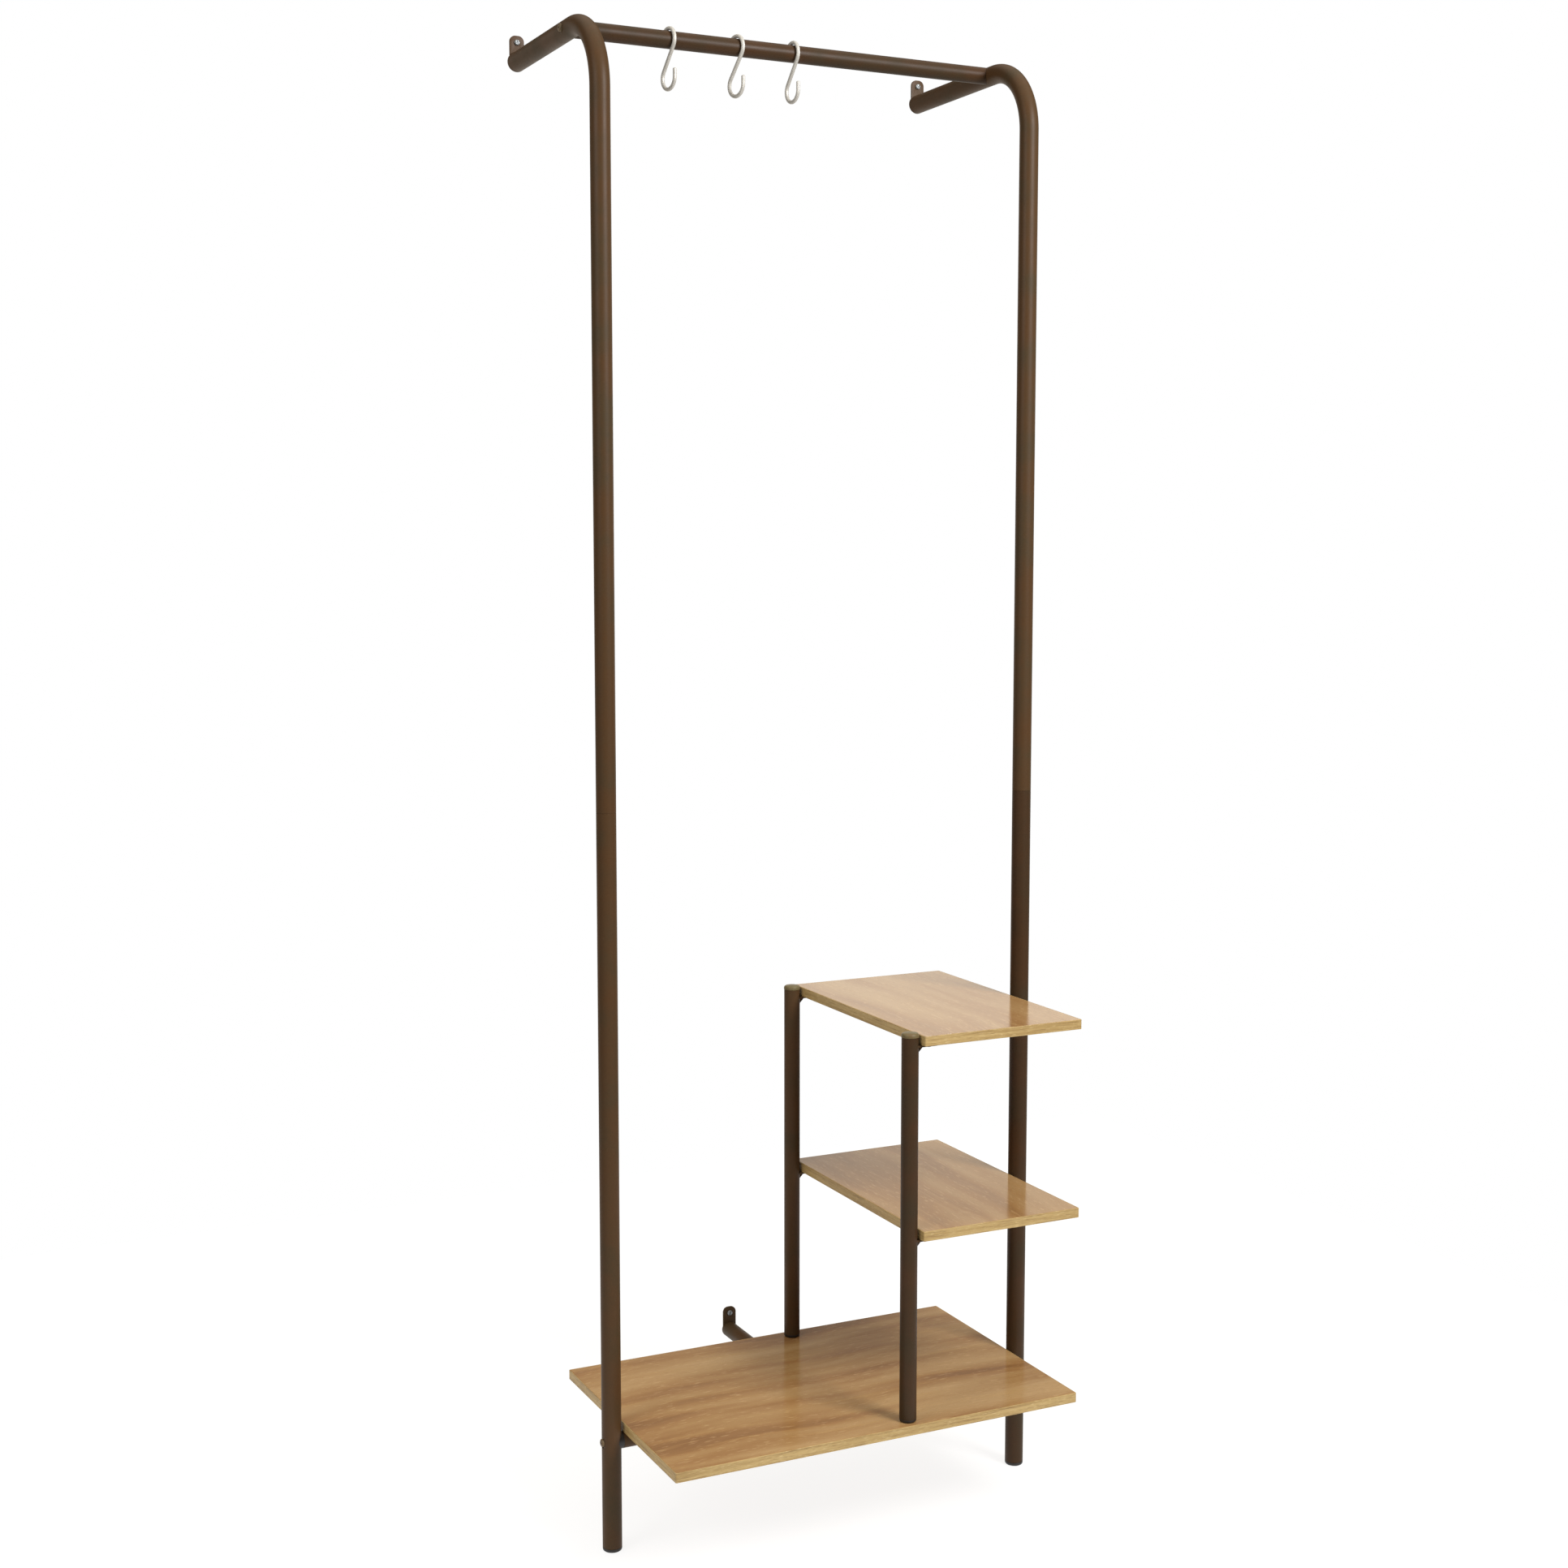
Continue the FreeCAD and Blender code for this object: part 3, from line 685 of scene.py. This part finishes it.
def upperUpright(label, side, coat, values):
    x = side * uprightX
    ease = values["rimEase"]
    bend = values["bendRadius"]
    heights = [seamZ] + runHeights(seamZ + ease, armZ - bend, None, values)
    points = [(x, uprightY, height) for height in heights]
    for step in range(1, values["bendSteps"]):
        turn = math.pi / 2 * step / values["bendSteps"]
        points.append((x, uprightY + bend * (1 - math.cos(turn)), armZ - bend * (1 - math.sin(turn))))
    depths = runHeights(uprightY + bend, plateFront - ease, railY, values) + [plateFront]
    points += [(x, depth, armZ) for depth in depths]
    name = label + "UprightUpper"
    mesh = tubeMesh(name, easedPath(points, uprightRadius, ease), uprightRadius, values["sides"], coat)
    pressSeat(mesh, Vector((x, railY, armZ)), side, values)
    newPiece(name, mesh, coat, label + "_upright_upper")


# the right lower upright takes the darker coat: painted shade, with the real tone step at its seam
lowerCoats = {"left": bronzePowderCoat, "right": bronzeShadePaintedCoat}
for label, side in sides.items():
    lowerUpright(label, side, lowerCoats[label], uprightValues)
    upperUpright(label, side, bronzePowderCoat, uprightValues)
print("uprights and arms built")

# rail, crossbar and its saddles, rear strut
barValues = {
    "sides": 96, "rimEase": 0.3 * mm, "copeGap": 0.1 * mm, "copeLead": 2.0 * mm,
    "saddleGap": 0.05 * mm, "saddleRim": 1.2 * mm, "longStep": 80.0 * mm,
}
nearly = 0.01 * mm  # two places this close are one


def stationsBetween(low, high, step):
    count = max(1, round((high - low) / step))
    return [low + (high - low) * index / count for index in range(count + 1)]


def hollowEnds(mesh, axis, level, reach):
    # lays an end that runs into an upright's axis against that upright's round side
    for vertex in mesh.vertices:
        if abs(vertex.co.x) > uprightX - nearly:
            off = vertex.co[axis] - level
            vertex.co.x = math.copysign(uprightX - math.sqrt(reach ** 2 - off ** 2), vertex.co.x)


def hangingRail(coat, values):
    # both ends are hollowed to sit against the arms
    reach = uprightRadius + values["copeGap"]
    straight = uprightX - reach - values["copeLead"]
    along = [-uprightX] + stationsBetween(-straight, straight, values["longStep"]) + [uprightX]
    path = [((x, railY, armZ), 1.0) for x in along]
    mesh = tubeMesh("hangingRail", path, barRadius, values["sides"], coat)
    hollowEnds(mesh, 2, armZ, reach)
    newPiece("hangingRail", mesh, coat, "rail")


def lowCrossbar(coat, values):
    ease = values["rimEase"]
    along = [-barEnd] + stationsBetween(-barEnd + ease, barEnd - ease, values["longStep"]) + [barEnd]
    path = easedPath([(x, uprightY, barZ) for x in along], barRadius, ease)
    mesh = tubeMesh("lowCrossbar", path, barRadius, values["sides"], coat)
    newPiece("lowCrossbar", mesh, coat, "crossbar")


def crossbarSaddle(label, side, values):
    # nylon spacer, flat against the tube end and hollowed round the upright
    ease = values["rimEase"]
    inset = (barRadius - ease) / barRadius
    along = ((barEnd, inset), (barEnd + ease, 1.0), (barEnd + values["saddleRim"], 1.0), (uprightX, 1.0))
    path = [((side * x, uprightY, barZ), size) for x, size in along]
    name = label + "CrossbarSaddle"
    mesh = tubeMesh(name, path, barRadius, values["sides"], blackNylon)
    hollowEnds(mesh, 1, uprightY, uprightRadius + values["saddleGap"])
    newPiece(name, mesh, blackNylon, label + "_crossbar_saddle")


def rearStrut(coat, values):
    # its front end is hollowed round the crossbar
    reach = barRadius + values["saddleGap"]
    start = uprightY + reach + values["copeLead"]
    along = [uprightY] + stationsBetween(start, plateFront, values["longStep"])
    path = [((0, y, barZ), 1.0) for y in along]
    mesh = tubeMesh("rearStrut", path, barRadius, values["sides"], coat)
    for vertex in mesh.vertices:
        if vertex.co.y < uprightY + nearly:
            rise = vertex.co.z - barZ
            vertex.co.y = uprightY + math.sqrt(max(0.0, reach ** 2 - rise ** 2))
    newPiece("rearStrut", mesh, coat, "rear_strut")


# the rail takes the darker coat as painted shade
hangingRail(bronzeShadePaintedCoat, barValues)
lowCrossbar(bronzePowderCoat, barValues)
for label, side in sides.items():
    crossbarSaddle(label, side, barValues)
rearStrut(bronzePowderCoat, barValues)
print("rail, crossbar, saddles and strut built")

# posts, their caps and feet, the uprights' foot plugs
postValues = {
    "sides": 96, "rimEase": 0.3 * mm, "longStep": 80.0 * mm, "capRim": 0.3 * mm,
    "capRound": 3.3 * mm, "capCrown": 0.5 * mm,
    "dome": ((0.45, 0.3), (0.2, 0.1), (0.0, 0.0)),  # shares of the radius and of the crown
    "footRound": 2.4 * mm, "plugRound": 3.0 * mm,
    "seatRound": 0.2 * mm,
}


def turnedPiece(name, profile, centre, finish, node):
    mesh = turnedMesh(name, profile)
    mesh.transform(Matrix.Translation((centre.x, centre.y, 0)))
    newPiece(name, mesh, finish, node)


def shelfPost(label, coat, values):
    centre = centreOf(label + "_post")
    low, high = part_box(label + "_post")[0][2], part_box(label + "_post")[1][2]
    ease = values["rimEase"]
    heights = [low] + stationsBetween(low + ease, high - ease, values["longStep"]) + [high]
    path = easedPath([(centre.x, centre.y, height) for height in heights], barRadius, ease)
    name = label + "Post"
    mesh = tubeMesh(name, path, barRadius, values["sides"], coat)
    newPiece(name, mesh, coat, label + "_post")
    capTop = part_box(label + "_post_cap")[1][2]
    radius = widthOf(label + "_post_cap") / 2
    crown = values["capCrown"]
    profile = roundedProfile(radius, high, capTop - crown, values["capRim"], values["capRound"], 10)
    profile[-1:] = [(radius * share, capTop - crown * fall) for share, fall in values["dome"]]
    turnedPiece(label + "PostCap", profile, centre, bronzeCapPlastic, label + "_post_cap")
    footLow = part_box(label + "_post_foot")[0][2]
    profile = roundedProfile(barRadius, footLow, low, values["footRound"], values["seatRound"])
    turnedPiece(label + "PostFoot", profile, centre, blackNylon, label + "_post_foot")


def footPlug(label, side, values):
    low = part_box(label + "_foot_plug")[0][2]
    profile = roundedProfile(uprightRadius, low, footTop, values["plugRound"], values["seatRound"])
    centre = Vector((side * uprightX, uprightY, 0))
    turnedPiece(label + "FootPlug", profile, centre, blackNylon, label + "_foot_plug")


# the front post takes the darker coat as painted shade
shelfPost("front", bronzeShadePaintedCoat, postValues)
shelfPost("rear", bronzePowderCoat, postValues)
for label, side in sides.items():
    footPlug(label, side, postValues)
print("posts, caps and plugs built")

# wall tabs
tabValues = {
    "halfWidth": 10.0 * mm, "cornerRound": 8.0 * mm, "holeRise": 25.0 * mm, "holeRadius": 2.5 * mm,
    "ease": 0.4 * mm,
}


def wallTab(name, node, values):
    # disc that closes the tube, with a round-topped tab standing above it
    low, high = (Vector(corner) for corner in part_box(node))
    x = (low.x + high.x) / 2
    radius = (high.x - low.x) / 2
    axisZ = low.z + radius
    half = values["halfWidth"]
    meet = math.degrees(math.asin(math.sqrt(radius ** 2 - half ** 2) / radius))
    corner = values["cornerRound"]
    shoulder = high.z - axisZ - corner
    outline = arcPoints((half - corner, shoulder), corner, 0, 90, 16)
    outline += arcPoints((corner - half, shoulder), corner, 90, 180, 16)
    outline += arcPoints((0, 0), radius, 180 - meet, 360 + meet, 72)
    hole = arcPoints((0, values["holeRise"]), values["holeRadius"], 0, 345, 23)
    lay = Matrix(((1, 0, 0, x), (0, 0, 1, (low.y + high.y) / 2), (0, 1, 0, axisZ), (0, 0, 0, 1)))
    mesh = plateMesh(name, [outline, hole], high.y - low.y, values["ease"], lay)
    newPiece(name, mesh, bronzePowderCoat, node, sharpAngle=flatStock)


for name, node in (("leftArmTab", "left_arm"), ("rightArmTab", "right_arm"), ("strutTab", "strut")):
    wallTab(name, node + "_wall_plate", tabValues)
print("wall tabs built")

# boards and their edge bands
boardValues = {
    "cornerRadius": 2.0 * mm, "cornerSteps": 8, "bandThickness": 1.0 * mm, "coreEase": 0.22 * mm,
    "bandEase": 0.55 * mm,
    "easeShare": 0.3,  # where the middle of an eased rim lies
    "nickDepth": 0.25 * mm,
    "nickShare": 0.3,  # how far across the band's thickness the nick at its inner rim reaches
}


def boardCore(name, node, finish, values):
    low, high = (Vector(corner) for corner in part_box(node))
    work = bmesh.new()
    bmesh.ops.create_cube(work, size=1.0)
    for vertex in work.verts:
        vertex.co = Vector([low[axis] if vertex.co[axis] < 0 else high[axis] for axis in range(3)])
    level = [edge for edge in work.edges if abs(edge.verts[0].co.z - edge.verts[1].co.z) < nearly]
    bmesh.ops.bevel(work, geom=level, offset=values["coreEase"], segments=2, affect="EDGES", profile=0.6)
    mesh = meshFrom(name, work)
    newPiece(name, mesh, finish, node, sharpAngle=flatStock)


def boardBand(name, node, values):
    # the band's section is carried round the board, outer rims eased, inner rims nicked
    low, high = (Vector(corner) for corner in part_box(node))
    radius = values["cornerRadius"]
    thick = values["bandThickness"]
    steps = values["cornerSteps"]
    stations = []
    for start, signX, signY in ((0, 1, 1), (90, -1, 1), (180, -1, -1), (270, 1, -1)):
        cornerX = high.x if signX > 0 else low.x
        cornerY = high.y if signY > 0 else low.y
        centre, mitre = (Vector((cornerX - signX * reach, cornerY - signY * reach))
                         for reach in (radius, thick))
        for step in range(steps + 1):
            turn = math.radians(start + 90 * step / steps)
            normal = Vector((math.cos(turn), math.sin(turn)))
            outer = centre + normal * radius
            stations.append((outer, normal, outer - normal * thick if step in (0, steps) else mitre))
    ease = values["bandEase"]
    share = values["easeShare"] * ease
    nick = values["nickDepth"]
    reach = values["nickShare"]
    section = [
        ("inner", 0.0, low.z + nick), ("inner", reach, low.z),
        ("outer", ease, low.z), ("outer", share, low.z + share), ("outer", 0.0, low.z + ease),
        ("outer", 0.0, high.z - ease), ("outer", share, high.z - share), ("outer", ease, high.z),
        ("inner", reach, high.z), ("inner", 0.0, high.z - nick),
    ]
    work = bmesh.new()
    rings = []
    for outer, normal, inner in stations:
        ring = []
        for kind, amount, z in section:
            point = outer - normal * amount if kind == "outer" else inner.lerp(outer, amount)
            ring.append(work.verts.new((point.x, point.y, z)))
        rings.append(ring)
    skinRings(work, rings, closed=True)
    mesh = meshFrom(name, work)
    newPiece(name, mesh, oakEdgeBand, node, sharpAngle=flatStock)


for name, node, finish in (
        ("baseBoard", "base_board", oakFoilLong),
        ("middleShelf", "middle_shelf", oakFoilDeep),
        ("topShelf", "top_shelf", oakFoilDeep)):
    boardCore(name, node, finish, boardValues)
    boardBand(name + "Band", node + "_edging", boardValues)
print("boards and bands built")

# shelf brackets
bracketValues = {
    "tongueThickness": 2.5 * mm, "tipRound": 4.0 * mm,
    "armBack": 0.5,  # where a wide tongue's arms end beside the tube, in radii
    "armSide": 0.866, "webThickness": 3.0 * mm, "webHeight": 8.0 * mm,
    "webBite": 0.97,  # where the web starts, in radii, just inside the tube's skin
    "webFoot": 0.6 * mm, "ease": 0.35 * mm,
}


def shelfBracket(name, node, axis, radius, toward, values):
    # tongue under the shelf, hollowed round the tube, and a sloping web below it
    low, high = (Vector(corner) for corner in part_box(node))
    top = high.z
    half = (high.y - low.y) / 2
    reach = (high.x - axis.x) if toward > 0 else (axis.x - low.x)
    tip = values["tipRound"]
    outline = arcPoints((reach - tip, half - tip), tip, 90, 0, 6)
    outline += arcPoints((reach - tip, -half + tip), tip, 0, -90, 6)
    if half < radius:
        bite = math.degrees(math.asin(half / radius))
        outline += arcPoints((0, 0), radius, -bite, bite, 16)
    else:
        back, side = values["armBack"] * radius, values["armSide"] * radius
        outline += [(back, -half), (back, -side)]
        outline += arcPoints((0, 0), radius, -60, 60, 24)
        outline += [(back, side), (back, half)]
    thick = values["tongueThickness"]
    lay = Matrix(((toward, 0, 0, axis.x), (0, 1, 0, axis.y), (0, 0, 1, top - thick / 2), (0, 0, 0, 1)))
    tongue = plateMesh(name + "Tongue", [outline], thick, values["ease"], lay)
    drop = values["webHeight"]
    start = radius * values["webBite"]
    slope = [(start, 0), (radius + drop, 0), (radius + values["webFoot"], -drop), (start, -drop)]
    lay = Matrix(((toward, 0, 0, axis.x), (0, 0, 1, axis.y), (0, 1, 0, top - thick), (0, 0, 0, 1)))
    web = plateMesh(name + "Web", [slope], values["webThickness"], values["ease"], lay)
    mesh = joinMeshes(name, [tongue, web])
    newPiece(name, mesh, bronzePowderCoat, node, sharpAngle=flatStock)


for level in ("middle", "top"):
    for label in ("front", "rear"):
        shelfBracket(label + "PostBracket" + level.capitalize(), label + "_post_bracket_" + level,
                     centreOf(label + "_post"), barRadius, 1, bracketValues)
    shelfBracket("uprightBracket" + level.capitalize(), "upright_bracket_" + level,
                 Vector((uprightX, uprightY, 0)), uprightRadius, -1, bracketValues)
print("brackets built")

# screws and bolts
screwValues = {
    "headRadius": 3.8 * mm, "headHeight": 2.6 * mm, "headRound": 1.6 * mm, "crossSpan": 4.8 * mm,
    "crossWidth": 1.2 * mm, "crossDepth": 1.5 * mm, "neckRadius": 2.35 * mm, "neckLength": 3.5 * mm,
    "threadRadius": 2.15 * mm, "coreRadius": 1.55 * mm, "crestSteepness": 3.2, "pitch": 1.8 * mm,
    "length": 20.0 * mm, "point": 4.0 * mm,
    "pointShare": 0.12,  # what is left of the radius at the very end
    "sides": 28, "rows": 96,
}
boardScrewValues = dict(
    screwValues, headRadius=3.75 * mm, headHeight=2.0 * mm, headRound=1.2 * mm, crossSpan=4.0 * mm,
    crossWidth=0.9 * mm, crossDepth=1.2 * mm, neckRadius=1.95 * mm, neckLength=2.0 * mm,
    threadRadius=1.95 * mm, coreRadius=1.4 * mm, pitch=1.5 * mm, length=11.0 * mm, point=3.0 * mm)
boltHeadValues = {
    "headRadius": 5.25 * mm, "headHeight": 3.3 * mm, "headRound": 2.3 * mm,
    "socketRadius": 1.9 * mm, "socketDepth": 1.8 * mm, "shankRadius": 2.95 * mm,
    "shankLength": 8.0 * mm,
}
underHead = 0.15 * mm  # the small round at a head's lower rim


def drivenHead(name, values, outline, depth, narrowing, steps, sides):
    # a round head less its drive recess, a prism that narrows as it goes down
    top = values["headHeight"]
    work = bmesh.new()
    upper = [work.verts.new((x * 1.03, y * 1.03, top + 0.1 * mm)) for x, y in outline]
    lower = [work.verts.new((x * narrowing, y * narrowing, top - depth)) for x, y in outline]
    work.faces.new(upper)
    work.faces.new(lower[::-1])
    skinRings(work, [upper, lower])
    bmesh.ops.recalc_face_normals(work, faces=work.faces)
    head = turnedMesh(name, roundedProfile(
        values["headRadius"], 0, top, underHead, values["headRound"], steps), sides)
    return cutMesh(name, head, meshFrom(name + "Recess", work))


def threadRadius(depth, around, values):
    # the screw's radius at a depth below the head and a share of a turn around
    if depth < values["neckLength"]:
        radius = values["neckRadius"]
    else:
        phase = (depth / values["pitch"] + around) % 1.0
        crest = max(0.0, 1 - abs(phase - 0.5) * values["crestSteepness"])
        radius = values["coreRadius"] + (values["threadRadius"] - values["coreRadius"]) * crest
    tail = max(0.0, min(1.0, (values["length"] - depth) / values["point"]))
    return radius * (values["pointShare"] + (1 - values["pointShare"]) * tail ** 0.8)


def screwMesh(name, values):
    # pan head above the origin, neck, rolled thread and point below it
    span, width = values["crossSpan"] / 2, values["crossWidth"] / 2
    cross = []
    for quarter in range(4):
        turn = math.pi / 2 * quarter
        for along, across in ((span, -width), (span, width), (width, width)):
            cross.append((along * math.cos(turn) - across * math.sin(turn),
                          along * math.sin(turn) + across * math.cos(turn)))
    head = drivenHead(name + "Head", values, cross, values["crossDepth"], 0.62, 8, 48)
    count = values["sides"]
    work = bmesh.new()
    rings = []
    for row in range(values["rows"] + 1):
        depth = values["length"] * row / values["rows"]
        ring = []
        for step in range(count):
            turn = 2 * math.pi * step / count
            radius = threadRadius(depth, step / count, values)
            ring.append(work.verts.new((radius * math.cos(turn), radius * math.sin(turn), -depth)))
        rings.append(ring)
    skinRings(work, rings)
    work.faces.new(rings[0])
    work.faces.new(rings[-1][::-1])
    return joinMeshes(name, [head, meshFrom(name + "Shank", work)])


def boltMesh(name, values):
    # button head with a six-sided socket, and the start of its shank
    socket = arcPoints((0, 0), values["socketRadius"], 0, 300, 5)
    head = drivenHead(name + "Head", values, socket, values["socketDepth"], 0.96, 10, 64)
    shank = turnedMesh(name + "Shank", roundedProfile(
        values["shankRadius"], -values["shankLength"], 0, 0.3 * mm, 0.1 * mm), 32)
    return joinMeshes(name, [head, shank])


def setFasteners(name, pattern, places, finish, nodes):
    # places: (point, direction the head looks, spin in degrees)
    seed = bpy.data.meshes.new(name + "Points")
    seed.from_pydata([point for point, looks, spin in places], [], [])
    aim = seed.attributes.new("aim", "FLOAT_VECTOR", "POINT")
    for index, (point, looks, spin) in enumerate(places):
        turn = Vector((0, 0, 1)).rotation_difference(Vector(looks)).to_matrix()
        turn = turn @ Matrix.Rotation(math.radians(spin), 3, "Z")
        aim.data[index].vector = turn.to_euler()
    model = bpy.data.objects.new(name + "Pattern", pattern)
    bpy.context.scene.collection.objects.link(model)
    mesh = growMesh(name, seed, fastenerNodes, {"Fastener": model, "Finish": finish[0]})
    bpy.data.objects.remove(model)
    newPiece(name, mesh, finish, *nodes, sharpAngle=fastenerStock)


# spins: how far each one turned, in degrees, until it was tight
fastenerValues = {
    "wallSpins": (18, -31, 40), "boltSpins": (10, 25, 52, 3), "postSpins": (14, 47),
    "shelfSpins": {"middle": (12, 61, 33), "top": (75, 21, 48)}, "baseSpins": (5, 40, 66),
    "shelfInset": 16.0 * mm,  # from the tube to a shelf screw
    "baseAcross": 150.0 * mm, "baseBack": 70.0 * mm,
}


def fromBelow(spots, seat, spins):
    return [((x, y, seat), (0, 0, -1), spin) for (x, y), spin in zip(spots, spins)]


wallScrewNodes = ["left_wall_screw", "right_wall_screw", "strut_wall_screw"]
places = []
for node, spin in zip(wallScrewNodes, fastenerValues["wallSpins"]):
    centre = centreOf(node)
    places.append(((centre.x, plateFront, centre.z), (0, -1, 0), spin))
setFasteners("wallScrews", screwMesh("wallScrew", screwValues), places, zincPlate,
             wallScrewNodes)

boltNodes = ["left_rail_bolt", "right_rail_bolt", "left_crossbar_bolt", "right_crossbar_bolt"]
places = []
for node, spin in zip(boltNodes, fastenerValues["boltSpins"]):
    side = sides[node.split("_")[0]]
    centre = centreOf(node)
    seat = side * (uprightX + uprightRadius - uprightValues["seatDepth"])
    places.append(((seat, centre.y, centre.z), (side, 0, 0), spin))
setFasteners("frameBolts", boltMesh("frameBolt", boltHeadValues), places, bronzeBoltPaint,
             boltNodes)

posts = [centreOf("front_post"), centreOf("rear_post")]
places = fromBelow([(post.x, post.y) for post in posts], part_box("base_board")[0][2],
                   fastenerValues["postSpins"])
setFasteners("postBolts", boltMesh("postBolt", boltHeadValues), places, bronzeBoltPaint,
             ["post_screws"])

inset = fastenerValues["shelfInset"]
spots = [(post.x + barRadius + inset, post.y) for post in posts]
spots.append((uprightX - uprightRadius - inset, uprightY))
for level, spins in fastenerValues["shelfSpins"].items():
    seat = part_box(level + "_shelf")[0][2] - bracketValues["tongueThickness"]
    setFasteners(level + "ShelfScrews", screwMesh("shelfScrew", boardScrewValues),
                 fromBelow(spots, seat, spins), zincPlate, [level + "_shelf_screws"])

across = fastenerValues["baseAcross"]
spots = [(-across, uprightY), (across, uprightY), (0, fastenerValues["baseBack"])]
places = fromBelow(spots, barZ - barRadius, fastenerValues["baseSpins"])
setFasteners("baseBoardScrews", screwMesh("baseScrew", boardScrewValues), places, zincPlate,
             ["base_board_screws"])
print("screws and bolts set")

# S-hooks
hookValues = {
    "bendRadius": 14.3 * mm, "drop": 46.9 * mm, "backTail": 4.0 * mm, "frontTip": 10.0 * mm,
    "tipLead": 3.0 * mm, "wireRadius": 2.5 * mm, "endRound": 1.5 * mm, "endSteps": 6, "sides": 40,
    "twist": {"left": 10.0, "middle": 14.0, "right": 6.0},  # degrees, how each has turned on the rail
}


def hookPath(values):
    # (forward, rise) points of the wire's middle line, with the wire's size at each
    r = values["bendRadius"]
    drop = values["drop"]
    lead = values["tipLead"]
    lean = math.degrees(math.asin(2 * r / drop))
    line = [(-r, -values["backTail"]), (-r, -values["backTail"] + lead)]
    line += arcPoints((0, 0), r, 180, -lean, 72)
    line += arcPoints((0, -drop), r, 180 - lean, 360, 72)
    line += [(r, -drop + values["frontTip"] - lead), (r, -drop + values["frontTip"])]
    end = values["endRound"]
    rounded = []
    for step in range(values["endSteps"] + 1):
        turn = math.pi / 2 * step / values["endSteps"]
        size = 1 - end / values["wireRadius"] * (1 - math.cos(turn))
        rounded.append((end * math.sin(turn), size))
    first, last = line[0], line[-1]
    start = [((first[0], first[1] + end - reach), size) for reach, size in rounded[::-1]]
    finish = [((last[0], last[1] - end + reach), size) for reach, size in rounded]
    return start + [(point, 1.0) for point in line[1:-1]] + finish


def hangHook(label, values):
    x = centreOf("s_hook_" + label).x
    twist = math.radians(values["twist"][label])
    path = []
    for (forward, rise), size in hookPath(values):
        point = (x + forward * math.sin(twist), railY - forward * math.cos(twist), armZ + rise)
        path.append((point, size))
    name = label + "Hook"
    mesh = tubeMesh(name, path, values["wireRadius"], values["sides"], nickelWire)
    newPiece(name, mesh, nickelWire, "s_hook_" + label, body="hook_" + label)


for label in ("left", "middle", "right"):
    hangHook(label, hookValues)
print("hooks hung")

# the inner steel parts stay as they come from the frame, in a better finish
for name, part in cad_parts.items():
    if part.hide_render:
        continue
    for holder in part.material_slots:
        holder.material = turnedSteel
    print("kept from the frame:", name)
